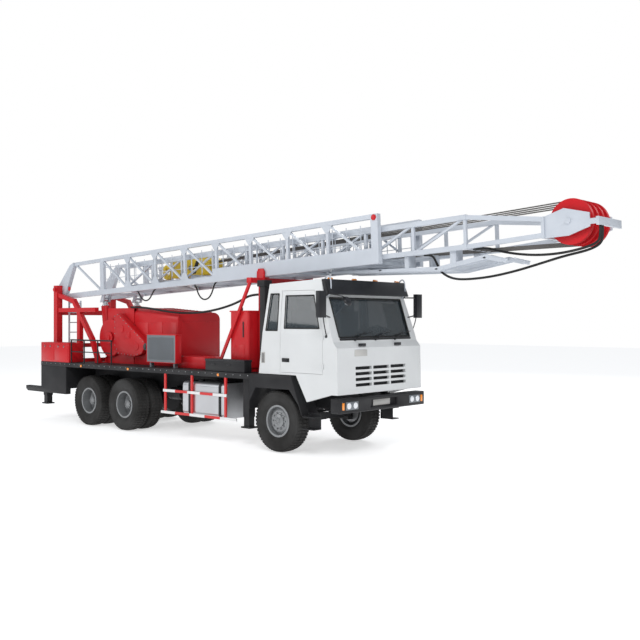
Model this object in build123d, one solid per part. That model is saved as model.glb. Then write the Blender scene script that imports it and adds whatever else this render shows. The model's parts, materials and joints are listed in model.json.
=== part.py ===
from build123d import *
import os
from math import atan2, cos, degrees, hypot, radians, sin, sqrt, tan

os.makedirs("parts", exist_ok=True)

# Sizes are in millimetres. x is measured forward from the front axle, y to the left, z up from the floor.
rear_tip_x = -8650.0
crown_tip_x = 5700.0
shift_x = -(rear_tip_x + crown_tip_x) / 2

# Wheels and axles
tyre_radius = 562.0
tyre_width = 314.0
rim_radius = 267.0
rim_wall = 12.0
rim_width = 240.0
flange_radius = 290.0
flange_wide = 12.0
axle_z = tyre_radius
mid_axle_x = -4600.0
rear_axle_x = -5950.0
front_track_y = 1010.0
inner_twin_y = 712.0
outer_twin_y = 1062.0
spindle_radius = 50.0
bearing_gap = 0.1
slide_gap = 0.2
kingpin_y = 830.0
kingpin_radius = 30.0
moving_gap = 6.0

# Frame and deck
rail_inner_y = 350.0
rail_outer_y = 430.0
rail_bottom_z = 780.0
rail_top_z = 1060.0
rail_front_x = 1340.0
tail_x = -7940.0
deck_front_x = -650.0
deck_bottom_z = 1290.0
deck_top_z = 1390.0
deck_half = 1220.0
edge_beam = 40.0
side_row_y = deck_half - 45
sheet = 10.0

# Cab
cab_half = deck_half - 20
cab_roof_half = cab_half - 80
cab_wall = 60.0
cab_floor_z = 1410.0
belt_z = 2150.0
glass_depth = 22.0
glass_thick = 8.0
door_rear_x = 130.0
door_front_x = 1150.0
door_bottom_z = 1450.0
door_top_z = 2900.0
door_gap = 5.0
door_bevel = 16.0
hinge_x = door_front_x + 12.0
hinge_y = cab_half + 14.0
hinge_rows = (1560.0, 2060.0)
hinge_pin_radius = 7.0
pillar_lean = 0.331

# Mast, in its own frame: a runs along it from the pivot, n stands off it
pivot_x = -7920.0
pivot_z = 3120.0
mast_pitch = 2.6
mast_bottom_n = -230.0
mast_top_n = 620.0
mast_outer_y = 650.0
mast_length = 9850.0
upper_outer_y = 520.0
upper_bottom_n = -150.0
upper_top_n = 400.0
upper_start_a = 2400.0
upper_taper_a = 11500.0
crown_plate_a = 12780.0
crown_axis_a = 13150.0
crown_axis_n = 104.0
sheave_radius = 340.0
pivot_pin_radius = 40.0

# Raising cylinders
ram_y = 450.0
ram_eye_a = 1500.0
ram_eye_n = -330.0
ram_foot_x = -6200.0
ram_foot_z = 1500.0
ram_pin_radius = 25.0
works_rear_x = pivot_x + ram_eye_a + 360
works_front_x = -5060.0
works_half = 600.0
guard_low_z = 485.0

# Jacks
jack_size = 160.0
jack_wall = 10.0
jack_foot_z = 350.0
jack_y = deck_half - 240


def block(x0, x1, y0, y1, z0, z1):
    return Pos((x0 + x1) / 2, (y0 + y1) / 2, (z0 + z1) / 2) * Box(x1 - x0, y1 - y0, z1 - z0)


def prism(points, y0, y1):
    face = make_face(Plane.XZ.offset(-y1) * Polyline(*points, close=True))
    return extrude(face, y1 - y0, dir=(0, -1, 0))


def rod(start, end, radius):
    a, b = Vector(*start), Vector(*end)
    return Solid.make_cylinder(radius, (b - a).length, Plane(a, z_dir=b - a))


def bar(start, end, wide, deep, side=(0, 1, 0)):
    a, b = Vector(*start), Vector(*end)
    plane = Plane(origin=a, x_dir=side, z_dir=b - a)
    return extrude(plane * Rectangle(wide, deep), (b - a).length)


def disc(x, z, radius, y0, y1):
    return rod((x, y0, z), (x, y1, z), radius)


def fuse(pieces):
    pieces = list(pieces)
    return pieces[0] if len(pieces) == 1 else pieces[0].fuse(*pieces[1:])


def pair(shape):
    return [shape, mirror(shape, about=Plane.XZ)]


def spun(points, x, side):
    # points are (radius, distance from the middle plane)
    face = make_face(Polyline(*[(r, d) for r, d in points], close=True))
    ring = revolve(face, Axis.Y)
    ring = mirror(ring, about=Plane.XZ) if side < 0 else ring
    return Pos(x, 0, axle_z) * ring


def save(name, shape):
    solids = shape if isinstance(shape, (list, tuple, ShapeList)) else [shape]
    moved = [Pos(shift_x, 0, 0) * s for s in solids]
    export_step(moved[0] if len(moved) == 1 else Compound(children=moved), "parts/" + name + ".step")


def channel(x0, x1, z0, z1):
    whole = block(x0, x1, rail_inner_y, rail_outer_y, z0, z1)
    return whole - block(x0 - 1, x1 + 1, rail_inner_y - 1, rail_outer_y - sheet, z0 + sheet, z1 - sheet)


def make_chassis():
    pieces = pair(channel(tail_x, rail_front_x, rail_bottom_z, rail_top_z))
    web = rail_outer_y - sheet
    middle_x = (mid_axle_x + rear_axle_x) / 2
    cross_x = (tail_x + 240, rear_axle_x - 750, middle_x, mid_axle_x + 1000, mid_axle_x + 2300, rail_front_x - 100)
    for x in cross_x:
        pieces.append(block(x - 60, x + 60, -web, web, 960, rail_top_z - sheet))
    for x0, x1 in ((-400.0, -320.0), (1180.0, 1300.0)):
        pieces += pair(block(x0, x1, rail_inner_y, rail_outer_y, rail_top_z, cab_floor_z))
    return fuse(pieces)


def make_deck():
    cross_x = [-7600.0 + 700.0 * i for i in range(9)] + [-1400.0, -900.0]
    inner = deck_half - edge_beam
    pieces = [block(tail_x, deck_front_x, -deck_half, deck_half, deck_top_z - sheet, deck_top_z)]
    pieces += pair(channel(tail_x, deck_front_x, rail_top_z, deck_bottom_z))
    pieces += pair(block(tail_x, deck_front_x, inner, deck_half, deck_bottom_z, deck_top_z - sheet))
    for x in cross_x:
        pieces.append(block(x - 30, x + 30, -inner, inner, deck_bottom_z, deck_top_z - sheet))
    pieces.append(block(deck_front_x - edge_beam, deck_front_x, -inner, inner, deck_bottom_z, deck_top_z - sheet))
    pieces.append(block(tail_x, tail_x + edge_beam, -inner, inner, deck_bottom_z, deck_top_z - sheet))
    return fuse(pieces)


def make_front_axle():
    seat_z = axle_z + 78
    pieces = [block(-45, 45, -kingpin_y + 20, kingpin_y - 20, axle_z - 62, axle_z + 58)]
    for side in (-1, 1):
        pieces.append(rod((0, side * kingpin_y, axle_z - 62), (0, side * kingpin_y, axle_z + 58), 55))
        pieces.append(block(-60, 60, side * 390 - 50, side * 390 + 50, axle_z + 58, seat_z))
        leaf = [(-650, 765), (-650, 745), (-150, seat_z), (150, seat_z)]
        leaf += [(650, 745), (650, 765), (150, 715), (-150, 715)]
        pieces.append(prism(leaf, side * 390 - 40, side * 390 + 40))
        for x in (-620, 620):
            pieces.append(block(x - 30, x + 30, side * 390 - 40, side * 390 + 40, 750, rail_bottom_z))
    beam = fuse(pieces)
    for side in (-1, 1):
        y = side * kingpin_y
        beam = beam - rod((0, y, axle_z - 70), (0, y, axle_z + 70), kingpin_radius + bearing_gap)
    return beam


def make_knuckle(side):
    low, high = axle_z - 128, axle_z + 128
    y0, y1 = kingpin_y - 60, kingpin_y + 63
    pieces = [block(-60, 60, y0, y1, axle_z + 64, high), block(-60, 60, y0, y1, low, axle_z - 68)]
    pieces.append(block(-60, 60, y1, y1 + 22, low, high))
    pieces.append(rod((0, kingpin_y, low), (0, kingpin_y, high), kingpin_radius))
    pieces.append(rod((0, y1 + 22, axle_z), (0, front_track_y + 35, axle_z), spindle_radius))
    pieces.append(block(-220, -60, kingpin_y - 40, kingpin_y + 20, low, low + 30))
    knuckle = fuse(pieces)
    return knuckle if side > 0 else mirror(knuckle, about=Plane.XZ)


def tyre(y):
    w = rim_width / 2 - flange_wide
    half = tyre_width / 2
    upper = [(rim_radius, w), (flange_radius + 8, w), (425, half), (525, half - 14), (tyre_radius, half - 42)]
    points = [(r, y + d) for r, d in upper] + [(r, y - d) for r, d in reversed(upper)]
    return points


def rim_points(y, disc_y, cone_y):
    w = rim_width / 2
    inner = rim_radius - rim_wall
    return [(rim_radius, y - w + flange_wide), (flange_radius, y - w + flange_wide), (flange_radius, y - w),
            (inner, y - w), (inner, y + w), (flange_radius, y + w), (flange_radius, y + w - flange_wide),
            (rim_radius, y + w - flange_wide)]


def make_front_rim(x, side):
    y = front_track_y
    bore = spindle_radius + bearing_gap
    start = kingpin_y + 63 + 22 + moving_gap
    inner = rim_radius - rim_wall
    parts = [spun(rim_points(y, 0, 0), x, side)]
    bowl = [(inner, y + 20), (inner, y + 34), (190, y + 76), (100, y + 76), (100, y + 62), (186, y + 62)]
    parts.append(spun(bowl, x, side))
    parts.append(spun([(bore, start), (190, start), (190, y - 10), (120, y - 10), (120, y + 100), (70, y + 118),
                       (0, y + 118), (0, y + 44), (bore, y + 44)], x, side))
    return fuse(parts)


def make_twin_rim(x, side):
    bore = spindle_radius + bearing_gap
    inner = rim_radius - rim_wall
    middle = (inner_twin_y + outer_twin_y) / 2
    parts = [spun(rim_points(inner_twin_y, 0, 0), x, side), spun(rim_points(outer_twin_y, 0, 0), x, side)]
    parts.append(spun([(inner, middle - 89), (inner, middle - 73), (194, middle), (inner, middle + 73),
                       (inner, middle + 89), (190, middle + 13), (100, middle + 13), (100, middle - 13),
                       (190, middle - 13)], x, side))
    parts.append(spun([(bore, 646), (205, 646), (205, 790), (120, 790), (120, middle + 150), (90, middle + 170),
                       (90, middle + 205), (0, middle + 205), (0, 1000), (bore, 1000)], x, side))
    return fuse(parts)


def make_rear_axles():
    pieces = []
    for x in (mid_axle_x, rear_axle_x):
        pieces.append(rod((x, -640, axle_z), (x, 640, axle_z), 75))
        pieces.append(rod((x, -994, axle_z), (x, 994, axle_z), spindle_radius))
        pieces.append(rod((x - 150, 0, axle_z), (x + 150, 0, axle_z), 205))
        pieces += pair(block(x - 60, x + 60, 350, 430, axle_z, 650))
    middle = (mid_axle_x + rear_axle_x) / 2
    half = (mid_axle_x - rear_axle_x) / 2
    leaf = [(-half - 80, 650), (-half + 80, 650), (-200, 690), (200, 690), (half - 80, 650), (half + 80, 650)]
    leaf += [(half + 80, 680), (200, rail_bottom_z), (-200, rail_bottom_z), (-half - 80, 680)]
    pieces += pair(prism([(middle + x, z) for x, z in leaf], 350, 430))
    pieces.append(rod((rear_axle_x + 140, 0, 600), (mid_axle_x - 140, 0, 600), 45))
    return fuse(pieces)


def make_engine():
    pieces = [block(-350, 850, -300, 300, 800, 1385), block(-1150, -350, -180, 180, 830, 1150)]
    for x in (60, 560):
        pieces += pair(block(x - 60, x + 60, 300, 420, rail_top_z, rail_top_z + 30))
    end_x = mid_axle_x + 150
    shaft = rod((-1150, 0, 960), (end_x, 0, 640), 50)
    pieces.append(shaft - block(end_x - 250, end_x, -90, 90, 400, 900))
    return fuse(pieces)


def inset_outline(points, inset):
    # each side of a closed outline moved inward, given anticlockwise or clockwise
    count = len(points)
    area = sum(points[i][0] * points[(i + 1) % count][1] - points[(i + 1) % count][0] * points[i][1]
               for i in range(count))
    turn = 1 if area > 0 else -1
    lines = []
    for i in range(count):
        (xa, za), (xb, zb) = points[i], points[(i + 1) % count]
        long = hypot(xb - xa, zb - za)
        nx, nz = -(zb - za) / long * turn, (xb - xa) / long * turn
        lines.append((xa + nx * inset, za + nz * inset, xb - xa, zb - za))
    moved = []
    for i in range(count):
        xa, za, ua, va = lines[i - 1]
        xb, zb, ub, vb = lines[i]
        t = ((xb - xa) * vb - (zb - za) * ub) / (ua * vb - va * ub)
        moved.append((xa + ua * t, za + va * t))
    return moved


def cab_form(inset):
    side = [(-410, cab_floor_z), (-200, 3030), (1050, 3090), (1120, 2800), (1385, 2000)]
    side += [(1470, 1900), (1490, 1110), (1340, 1110), (780, 960), (520, cab_floor_z)]
    front = [(-cab_half, 900), (-cab_half, belt_z), (-cab_roof_half, 3140), (cab_roof_half, 3140),
             (cab_half, belt_z), (cab_half, 900)]
    side_face = make_face(Plane.XZ * Polyline(*inset_outline(side, inset), close=True))
    front_face = make_face(Plane.YZ * Polyline(*inset_outline(front, inset), close=True))
    long_way = extrude(side_face, 1400, both=True)
    cross_way = extrude(front_face, 1800, both=True)
    return long_way & cross_way


def door_outline(gap):
    lean_z = 2180.0
    top_x = door_front_x - pillar_lean * (door_top_z - lean_z)
    low = [(door_rear_x + gap, door_bottom_z + gap), (door_front_x - gap, door_bottom_z + gap)]
    high = [(door_front_x - gap, lean_z), (top_x - gap, door_top_z - gap), (door_rear_x + gap, door_top_z - gap)]
    return low + high


door_window = [(230, 2230), (1065, 2230), (905, 2810), (230, 2810)]
quarter_window = [(-235, 2190), (60, 2190), (60, 2850), (-150, 2850)]


def screen_openings():
    half = cab_half - 190
    return [block(1000, 1500, -half, half, 2080, 2760), block(-500, 0, -450, 450, 2250, 2750)]


def hinge_lugs():
    pieces = []
    for z in hinge_rows:
        for low in (z - 20, z + 40):
            pieces.append(block(hinge_x - 12, hinge_x + 14, cab_half, hinge_y, low, low + 20))
            pieces.append(rod((hinge_x, hinge_y, low), (hinge_x, hinge_y, low + 20), 14))
        pieces.append(rod((hinge_x, hinge_y, z), (hinge_x, hinge_y, z + 40), hinge_pin_radius))
    return pieces


def hinge_straps():
    pieces = []
    for z in hinge_rows:
        z0, z1 = z + slide_gap, z + 40 - slide_gap
        strap = block(hinge_x - 110, hinge_x, cab_half, cab_half + 10, z0, z1)
        strap = strap.fuse(rod((hinge_x, hinge_y, z0), (hinge_x, hinge_y, z1), 14))
        strap = strap - block(hinge_x - 14, hinge_x + 20, cab_half - 1, cab_half + slide_gap, z - 1, z + 50)
        bore = rod((hinge_x, hinge_y, z - 1), (hinge_x, hinge_y, z + 50), hinge_pin_radius + bearing_gap)
        pieces.append(strap - bore)
    return pieces


def make_cab():
    walls = cab_form(0) - cab_form(cab_wall)
    floor = cab_form(cab_wall - 1) & block(-600, 1600, -1300, 1300, cab_floor_z, cab_floor_z + cab_wall)
    shell = walls + floor
    bay = block(400, 1420, -cab_half + cab_wall, cab_half - cab_wall, 900, cab_floor_z)
    cutters = [bay] + screen_openings()
    cutters += pair(prism(door_outline(0), cab_half - cab_wall - 85, cab_half + 100))
    cutters += pair(prism(quarter_window, 900, 1300))
    for row in range(4):
        z = 1230 + row * 97
        for y0, y1 in ((-720, -270), (-230, 230), (270, 720)):
            cutters.append(block(1400, 1520, y0, y1, z, z + 56))
    for cutter in cutters:
        shell = shell - cutter
    return fuse([shell] + [p for lug in hinge_lugs() for p in pair(lug)])


def make_cab_glass():
    layer = cab_form(glass_depth) - cab_form(glass_depth + glass_thick)
    panes = [layer & opening for opening in screen_openings()]
    panes += [layer & p for p in pair(prism(quarter_window, 900, 1300))]
    return [s for pane in panes for s in pane.solids()]


def door_edge_wedge():
    # the rear edge of a door is bevelled, so that it swings clear of the post behind it
    inner_x = door_rear_x + door_gap + door_bevel
    points = [(door_rear_x - 10, cab_half + 10), (door_rear_x + door_gap, cab_half + 10)]
    points += [(inner_x, cab_half - 150), (door_rear_x - 10, cab_half - 150)]
    face = make_face(Plane.XY.offset(door_bottom_z - 10) * Polyline(*points, close=True))
    return extrude(face, door_top_z - door_bottom_z + 20)


def make_door(side):
    walls = cab_form(0) - cab_form(cab_wall)
    door = walls & prism(door_outline(door_gap), 900, 1300)
    door = door - door_edge_wedge()
    floor_room = cab_floor_z + cab_wall + door_gap
    door = door - block(-600, 1600, 0, cab_half - cab_wall, cab_floor_z - 10, floor_room)
    door = fuse([door - prism(door_window, 900, 1300)] + hinge_straps())
    return door if side > 0 else mirror(door, about=Plane.XZ)


def make_door_glass(side):
    layer = cab_form(glass_depth) - cab_form(glass_depth + glass_thick)
    pane = layer & prism(door_window, 900, 1300)
    return pane if side > 0 else mirror(pane, about=Plane.XZ)


def make_interior():
    floor_z = cab_floor_z + cab_wall
    pieces = [block(1050, 1290, -1080, 1080, floor_z, 1980)]
    tunnel = block(-150, 1050, -220, 220, floor_z, 1700)
    pieces.append(tunnel)
    for y in (-620.0, 620.0):
        pieces.append(block(180, 640, y - 260, y + 260, floor_z, 1900))
        pieces.append(block(100, 230, y - 260, y + 260, 1850, 2550))
        pieces.append(block(120, 220, y - 140, y + 140, 2550, 2750))
    return [fuse(pieces[:2])] + [fuse(pieces[i:i + 3]) for i in (2, 5)]


def make_bumper():
    shell = block(rail_front_x, 1550, -deck_half, deck_half, 800, 1050)
    return shell - block(1480, 1560, -380, 380, 860, 990)


def make_mirrors():
    body = cab_form(0)
    head_y = cab_half + 100
    foot_y = cab_half - 110
    pieces = [block(1240, 1320, head_y, head_y + 170, 2420, 2870)]
    pieces.append(rod((1280, head_y + 20, 2800), (1150, foot_y, 2800), 12))
    pieces.append(rod((1280, head_y + 20, 2470), (1230, foot_y, 2420), 12))
    arm = fuse(pieces) - body
    arm = max(arm.solids(), key=lambda s: s.volume)
    return pair(arm)


def make_fenders():
    outer = [(-650, 750), (-650, 1400), (410, 1400), (690, 720)]
    inner = [(672, 720), (590, 900), (370, 1150), (-480, 1150), (-640, 900), (-640, 750)]
    arch_y = deck_half - 420
    arch = prism(outer + inner, arch_y, deck_half)
    pieces = [arch]
    for x in (-260, 240):
        pieces.append(block(x - 40, x + 40, rail_inner_y, arch_y, 1180, 1240))
        pieces.append(block(x - 40, x + 40, rail_inner_y, rail_outer_y, rail_top_z, 1180))
    step_y = deck_half - 188
    pieces.append(block(660, 960, step_y - 12, step_y, 480, 760))
    for z in (480, 690):
        pieces.append(block(690, 960, step_y, deck_half, z, z + 20))
    return pair(fuse(pieces))


def make_snorkel():
    pieces = [block(-600, -460, -1000, -860, 1400, 3000), block(-640, -440, -1030, -830, 3000, 3120)]
    return fuse(pieces)


def make_fuel_tank():
    inner_y = -(rail_outer_y + 130)
    tank = block(-2610, -1300, -(deck_half - edge_beam), inner_y, 500, 1170)
    tank = fillet(tank.edges().filter_by(Axis.X), 90)
    pieces = [tank] + [block(x - 30, x + 30, inner_y - 1, -rail_outer_y, 860, 1000) for x in (-2400, -1500)]
    return fuse(pieces)


def make_side_guards():
    face_y = deck_half - 24
    high_z = guard_low_z + 440
    pieces = [block(-3200, -1280, face_y, deck_half, high_z, high_z + 50)]
    pieces.append(block(-3270, -1000, face_y, deck_half, guard_low_z, guard_low_z + 50))
    for x in (-3140, -2300, -1310):
        pieces.append(block(x - 25, x + 25, face_y - 6, face_y, guard_low_z, deck_bottom_z))
        pieces.append(block(x - 25, x + 25, face_y, deck_half, guard_low_z, deck_bottom_z))
    return pair(fuse(pieces))


def make_tool_boxes():
    boxes = pair(block(tail_x, tail_x + 1210, deck_half - 360, deck_half, deck_top_z, 1850))
    boxes.append(block(-3250, -2360, -820, -400, deck_top_z, 1630))
    return boxes


def make_tail():
    half = []
    half.append(block(tail_x, -6840, rail_outer_y, deck_half, rail_bottom_z, deck_bottom_z))
    bevel = [(rear_tip_x, 700), (rear_tip_x + 90, 650), (-6840, 650), (-6840, rail_bottom_z)]
    bevel += [(rear_tip_x, rail_bottom_z)]
    half.append(prism(bevel, deck_half - 130, deck_half))
    return pair(fuse(half))


def make_jack_housings():
    pieces = []
    for x, z1 in ((tail_x - jack_size / 2, 1500), (-900, deck_bottom_z)):
        y = jack_y
        s = jack_size / 2
        tube = block(x - s, x + s, y - s, y + s, 560, z1)
        i = s - jack_wall
        pieces += pair(tube - block(x - i, x + i, y - i, y + i, 550, z1 - jack_wall))
    return pieces


def make_jack_leg(x, side):
    y = side * jack_y
    s = jack_size / 2 - jack_wall - slide_gap
    return fuse([block(x - s, x + s, y - s, y + s, jack_foot_z + 30, 1190),
                 block(x - 120, x + 120, y - 100, y + 100, jack_foot_z, jack_foot_z + 30)])


def make_mast_base():
    y0, y1 = 700.0, 850.0
    mid, wide = (y0 + y1) / 2, y1 - y0
    half = [block(pivot_x - 75, pivot_x + 75, y0, y1, deck_top_z, pivot_z + 100)]
    half.append(block(-7010, -6890, mid - 50, mid + 50, deck_top_z, 2600))
    runs = [((pivot_x, 2620), (-6250, 2620)), ((pivot_x, 3000), (-7190, 2830))]
    runs += [((-7220, 2860), (-6420, 1915)), ((-6440, 1950), (-6180, deck_top_z + 20))]
    for (xa, za), (xb, zb) in runs:
        half.append(bar((xa, mid, za), (xb, mid, zb), 100, 100))
    half.append(block(-6260, -6110, mid - 50, mid + 50, deck_top_z, deck_top_z + 40))
    foot = [(ram_foot_x - 90, deck_top_z), (ram_foot_x + 90, deck_top_z), (ram_foot_x + 45, ram_foot_z + 30),
            (ram_foot_x - 45, ram_foot_z + 30)]
    for y in (ram_y - 90, ram_y + 65):
        half.append(prism(foot, y, y + 25))
    half.append(disc(ram_foot_x, ram_foot_z, ram_pin_radius, ram_y - 90, ram_y + 90))
    half.append(disc(pivot_x, pivot_z, pivot_pin_radius, 570, y1 + 20))
    pieces = [p for h in half for p in pair(h)]
    pieces.append(block(pivot_x - 50, pivot_x + 50, -y0, y0, 2500, 2620))
    pieces.append(block(pivot_x - 50, pivot_x + 50, -y0, y0, 1700, 1800))
    pieces.append(block(-7000, -6900, -mid, mid, deck_top_z, 1470))
    pieces.append(block(-6260, -6110, -mid, mid, deck_top_z, deck_top_z + 20))
    below = block(pivot_x - 80, ram_foot_x + 200, -y1 - 50, y1 + 50, deck_top_z - 100, deck_top_z)
    return fuse(pieces) - below


def at(a, y, n):
    # a point of the lying mast
    p = radians(mast_pitch)
    return (pivot_x + a * cos(p) - n * sin(p), y, pivot_z + a * sin(p) + n * cos(p))


def lie(shape):
    # from the mast's own frame, with a along x and n along z, to its lying place
    return Pos(pivot_x, 0, pivot_z) * Rot(0, -mast_pitch, 0) * shape


def make_mast_lower():
    chord_low = block(-110, mast_length, 550, mast_outer_y, mast_bottom_n, mast_bottom_n + 120)
    chord_high = block(470, mast_length, 570, mast_outer_y, mast_top_n - 80, mast_top_n)
    half = [chord_low, chord_high]
    mid_low, mid_high = mast_bottom_n + 60, mast_top_n - 40
    half.append(prism([(-110, mast_bottom_n), (130, mast_bottom_n), (560, mid_high - 60), (560, mast_top_n),
                       (400, mast_top_n - 60), (-110, 110)], 590, 690))
    half.append(block(1620, 1760, 580, mast_outer_y, mast_bottom_n, mast_top_n))
    half.append(block(mast_length - 150, mast_length, 560, mast_outer_y, mast_bottom_n, mast_top_n))
    bays = 8
    step = (mast_length - 150 - 1690) / bays
    for i in range(bays):
        a0, a1 = 1690 + i * step, 1690 + (i + 1) * step
        if i:
            half.append(block(a0 - 30, a0 + 30, 590, 640, mid_low, mid_high))
        half.append(bar((a0, 615, mid_high), (a1, 615, mid_low), 40, 40))
    half.append(bar((560, 615, mid_high), (1690, 615, mid_low), 40, 40))
    plate_n = mast_bottom_n + 120
    half.append(block(5600, mast_length, mast_outer_y - 12, mast_outer_y, plate_n, plate_n + 150))
    half.append(block(mast_length - 350, mast_length - 200, upper_outer_y + slide_gap, 550,
                      upper_bottom_n + 5, upper_bottom_n + 38))
    for y in (ram_y - 105, ram_y + 75):
        lug = [(ram_eye_a - 60, ram_eye_n - 60), (ram_eye_a + 60, ram_eye_n - 60)]
        lug += [(ram_eye_a + 170, mast_bottom_n + 50), (ram_eye_a + 60, mast_bottom_n + 50)]
        half.append(prism(lug, y, y + 30))
    half.append(disc(ram_eye_a, ram_eye_n, ram_pin_radius, ram_y - 105, ram_y + 105))
    pieces = [p for h in half for p in pair(h)]
    pieces.append(block(1560, 1690, -560, 560, mast_bottom_n, mast_bottom_n + 50))
    for i in range(bays + 1):
        a0 = 1690 + i * step
        if i:
            pieces.append(block(a0 - 25, a0 + 25, -560, 560, mast_bottom_n, mast_bottom_n + 50))
        if i < bays:
            sign = 1 if i % 2 else -1
            n = mast_bottom_n + 25
            pieces.append(bar((a0, -sign * 560, n), (a0 + step, sign * 560, n), 40, 40, (0, 0, 1)))
    whole = fuse(pieces)
    for y in (-700, 500):
        whole = whole - disc(0, 0, pivot_pin_radius + bearing_gap, y, y + 200)
    return lie(whole)


def make_mast_upper():
    y1, y0 = upper_outer_y, upper_outer_y - 80
    low, high = upper_bottom_n, upper_top_n
    half = [block(upper_start_a, upper_taper_a, y0, y1, low, low + 80)]
    half.append(block(upper_start_a, upper_taper_a, y0, y1, high - 80, high))
    half.append(bar((upper_taper_a - 30, y1 - 40, low + 40), (crown_plate_a, 380, -60), 70, 70))
    half.append(bar((upper_taper_a - 30, y1 - 40, high - 40), (crown_plate_a, 380, 175), 70, 70))
    half.append(block(upper_start_a, upper_start_a + 100, y1, 550 - slide_gap, low + 5, low + 38))
    bays = 9
    step = (upper_taper_a - upper_start_a - 60) / bays
    for i in range(bays + 1):
        a0 = upper_start_a + 30 + i * step
        half.append(block(a0 - 25, a0 + 25, y0 + 20, y1 - 10, low + 40, high - 40))
        if i < bays:
            half.append(bar((a0, y1 - 40, low + 40), (a0 + step, y1 - 40, high - 40), 36, 36))
    pieces = [p for h in half for p in pair(h)]
    for i in range(bays + 1):
        a0 = upper_start_a + 30 + i * step
        pieces.append(block(a0 - 20, a0 + 20, -y0 - 10, y0 + 10, low, low + 40))
    for a in (3400.0, 4700.0):
        pieces.append(block(a - 30, a + 30, -y0 - 10, y0 + 10, low, 0))
    pieces.append(block(crown_plate_a - 50, crown_plate_a, -415, 415, -110, 215))
    return lie(fuse(pieces) - block(crown_plate_a, crown_plate_a + 200, -600, 600, -400, 600))


def make_crown_frame():
    pieces = []
    side = [(crown_plate_a, -110), (crown_plate_a, 215), (crown_axis_a - 60, 300), (crown_axis_a + 330, 190),
            (crown_axis_a + 330, -10), (crown_axis_a, -110)]
    for y in (-395.0, 370.0):
        pieces.append(prism(side, y, y + 25))
    pieces.append(block(crown_plate_a, crown_plate_a + 15, -395, 395, -110, 215))
    frame = fuse(pieces)
    pin = disc(crown_axis_a, crown_axis_n, 45, -420, 420)
    tip_a = (crown_tip_x - pivot_x + 0.0) / cos(radians(mast_pitch))
    return frame, pin, tip_a


def make_crown():
    frame, pin, tip_a = make_crown_frame()
    p = radians(mast_pitch)
    bar_n = 60.0
    tip = (crown_tip_x - pivot_x + bar_n * sin(p)) / cos(p)
    guard = block(tip - 60, tip - 60 + 40, -400, 400, bar_n - 60, bar_n + 60)
    arms = [block(crown_axis_a + 300, tip - 60, y, y + 25, bar_n - 40, bar_n + 40) for y in (-395.0, 370.0)]
    return lie(fuse([frame, pin, guard] + arms))


def make_sheaves():
    hub = disc(crown_axis_a, crown_axis_n, 90, -340, 340)
    pieces = [hub]
    for y in (-270.0, -90.0, 90.0, 270.0):
        groove = sheave_radius - 40
        points = [(0, y - 30), (sheave_radius, y - 30), (groove, y - 8), (groove, y + 8)]
        points += [(sheave_radius, y + 30), (0, y + 30)]
        wheel = revolve(make_face(Polyline(*points, close=True)), Axis.Y)
        pieces.append(Pos(crown_axis_a, 0, crown_axis_n) * wheel)
    return lie(fuse(pieces) - disc(crown_axis_a, crown_axis_n, 45 + bearing_gap, -360, 360))


def make_hook_block():
    a0, a1 = 3180.0, 4980.0
    case = block(a0 + 500, a1, -190, 190, 0, 370)
    case = chamfer(case.edges().filter_by(Axis.Y), 80)
    case = case - block(a0 + 800, a1 - 250, -60, 60, -10, 400)
    neck = block(a0 + 300, a0 + 500, -70, 70, 110, 250)
    hook = disc(a0 + 170, 180, 170, -45, 45) - disc(a0 + 170, 180, 85, -60, 60)
    return lie(fuse([case, neck, hook]))


def make_front_support():
    x0, x1 = -960.0, -840.0
    half = [block(x0, x1, 560, 680, deck_top_z, 3080)]
    half.append(block(x0 - 40, x1 + 40, 540, 660, 3180, 3196))
    ear = [(-1000, 3080), (-800, 3080), (-800, 3300), (-840, 3360), (-960, 3360), (-1000, 3300)]
    half.append(prism(ear, 662, 690))
    half.append(bar((-900, 960, 3090), (-1840, 960, deck_top_z + 10), 40, 60)
                - block(-2000, -700, 900, 1000, 1000, deck_top_z) - block(-1200, -700, 900, 1000, 3080, 3300))
    half.append(block(-1900, -1780, 930, 990, deck_top_z, deck_top_z + 20))
    half.append(prism([(x1, 2700), (x1, 3080), (x1 + 180, 3080)], 600, 640))
    pieces = [p for h in half for p in pair(h)]
    pieces.append(block(x0, x1, -990, 990, 3080, 3180))
    return fuse(pieces)


def make_hood():
    side = [(-5050, deck_top_z), (-5050, 2655), (-3510, 2540), (-3510, deck_top_z)]
    whole = prism(side, -590, 590)
    edges = [e for e in whole.edges() if e.center().Z > 2500 and abs(abs(e.center().Y) - 590) < 1]
    return fillet(edges, 160)


def make_drawworks():
    pieces = []
    inner = works_half - 20
    for y in (-works_half, inner):
        pieces.append(block(works_rear_x, works_front_x, y, y + 20, deck_top_z, 2650))
    drum_x, drum_z = -5600.0, 1950.0
    pieces.append(disc(drum_x, drum_z, 220, -inner, inner))
    for y in (-560.0, 535.0):
        pieces.append(disc(drum_x, drum_z, 340, y, y + 25))
    pieces.append(block(works_rear_x, works_rear_x + 110, -inner, inner, 2400, 2650))
    pieces.append(block(works_rear_x + 110, works_front_x, -inner, inner, 2635, 2650))
    return fuse(pieces)


def make_guards():
    pieces = [disc(-5860, 1970, 430, -680, -600)]
    case = [(-5580, 2490), (-5440, 2530), (-4480, 1930), (-4440, 1800)]
    case += [(-4560, 1640), (-4810, 1570), (-5430, 1610), (-5580, 1800)]
    pieces.append(prism(case, -760, -600))
    pieces.append(disc(-4400, 1800, 110, -700, -600))
    return fuse(pieces)


def make_cooler():
    outer_y = 160 - deck_half
    pieces = [block(-3960, -3000, outer_y, outer_y + 140, 1500, 2070)]
    for x in (-3900, -3110):
        pieces.append(block(x, x + 50, outer_y + 30, outer_y + 110, deck_top_z, 1500))
    return fuse(pieces)


def make_hydraulic_tank():
    tank = block(-1500, -980, -920, -250, 1470, 2550)
    tank = fillet(tank.edges().filter_by(Axis.Z), 40)
    return fuse([tank, block(-1470, -1010, -890, -280, deck_top_z, 1470)])


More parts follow.
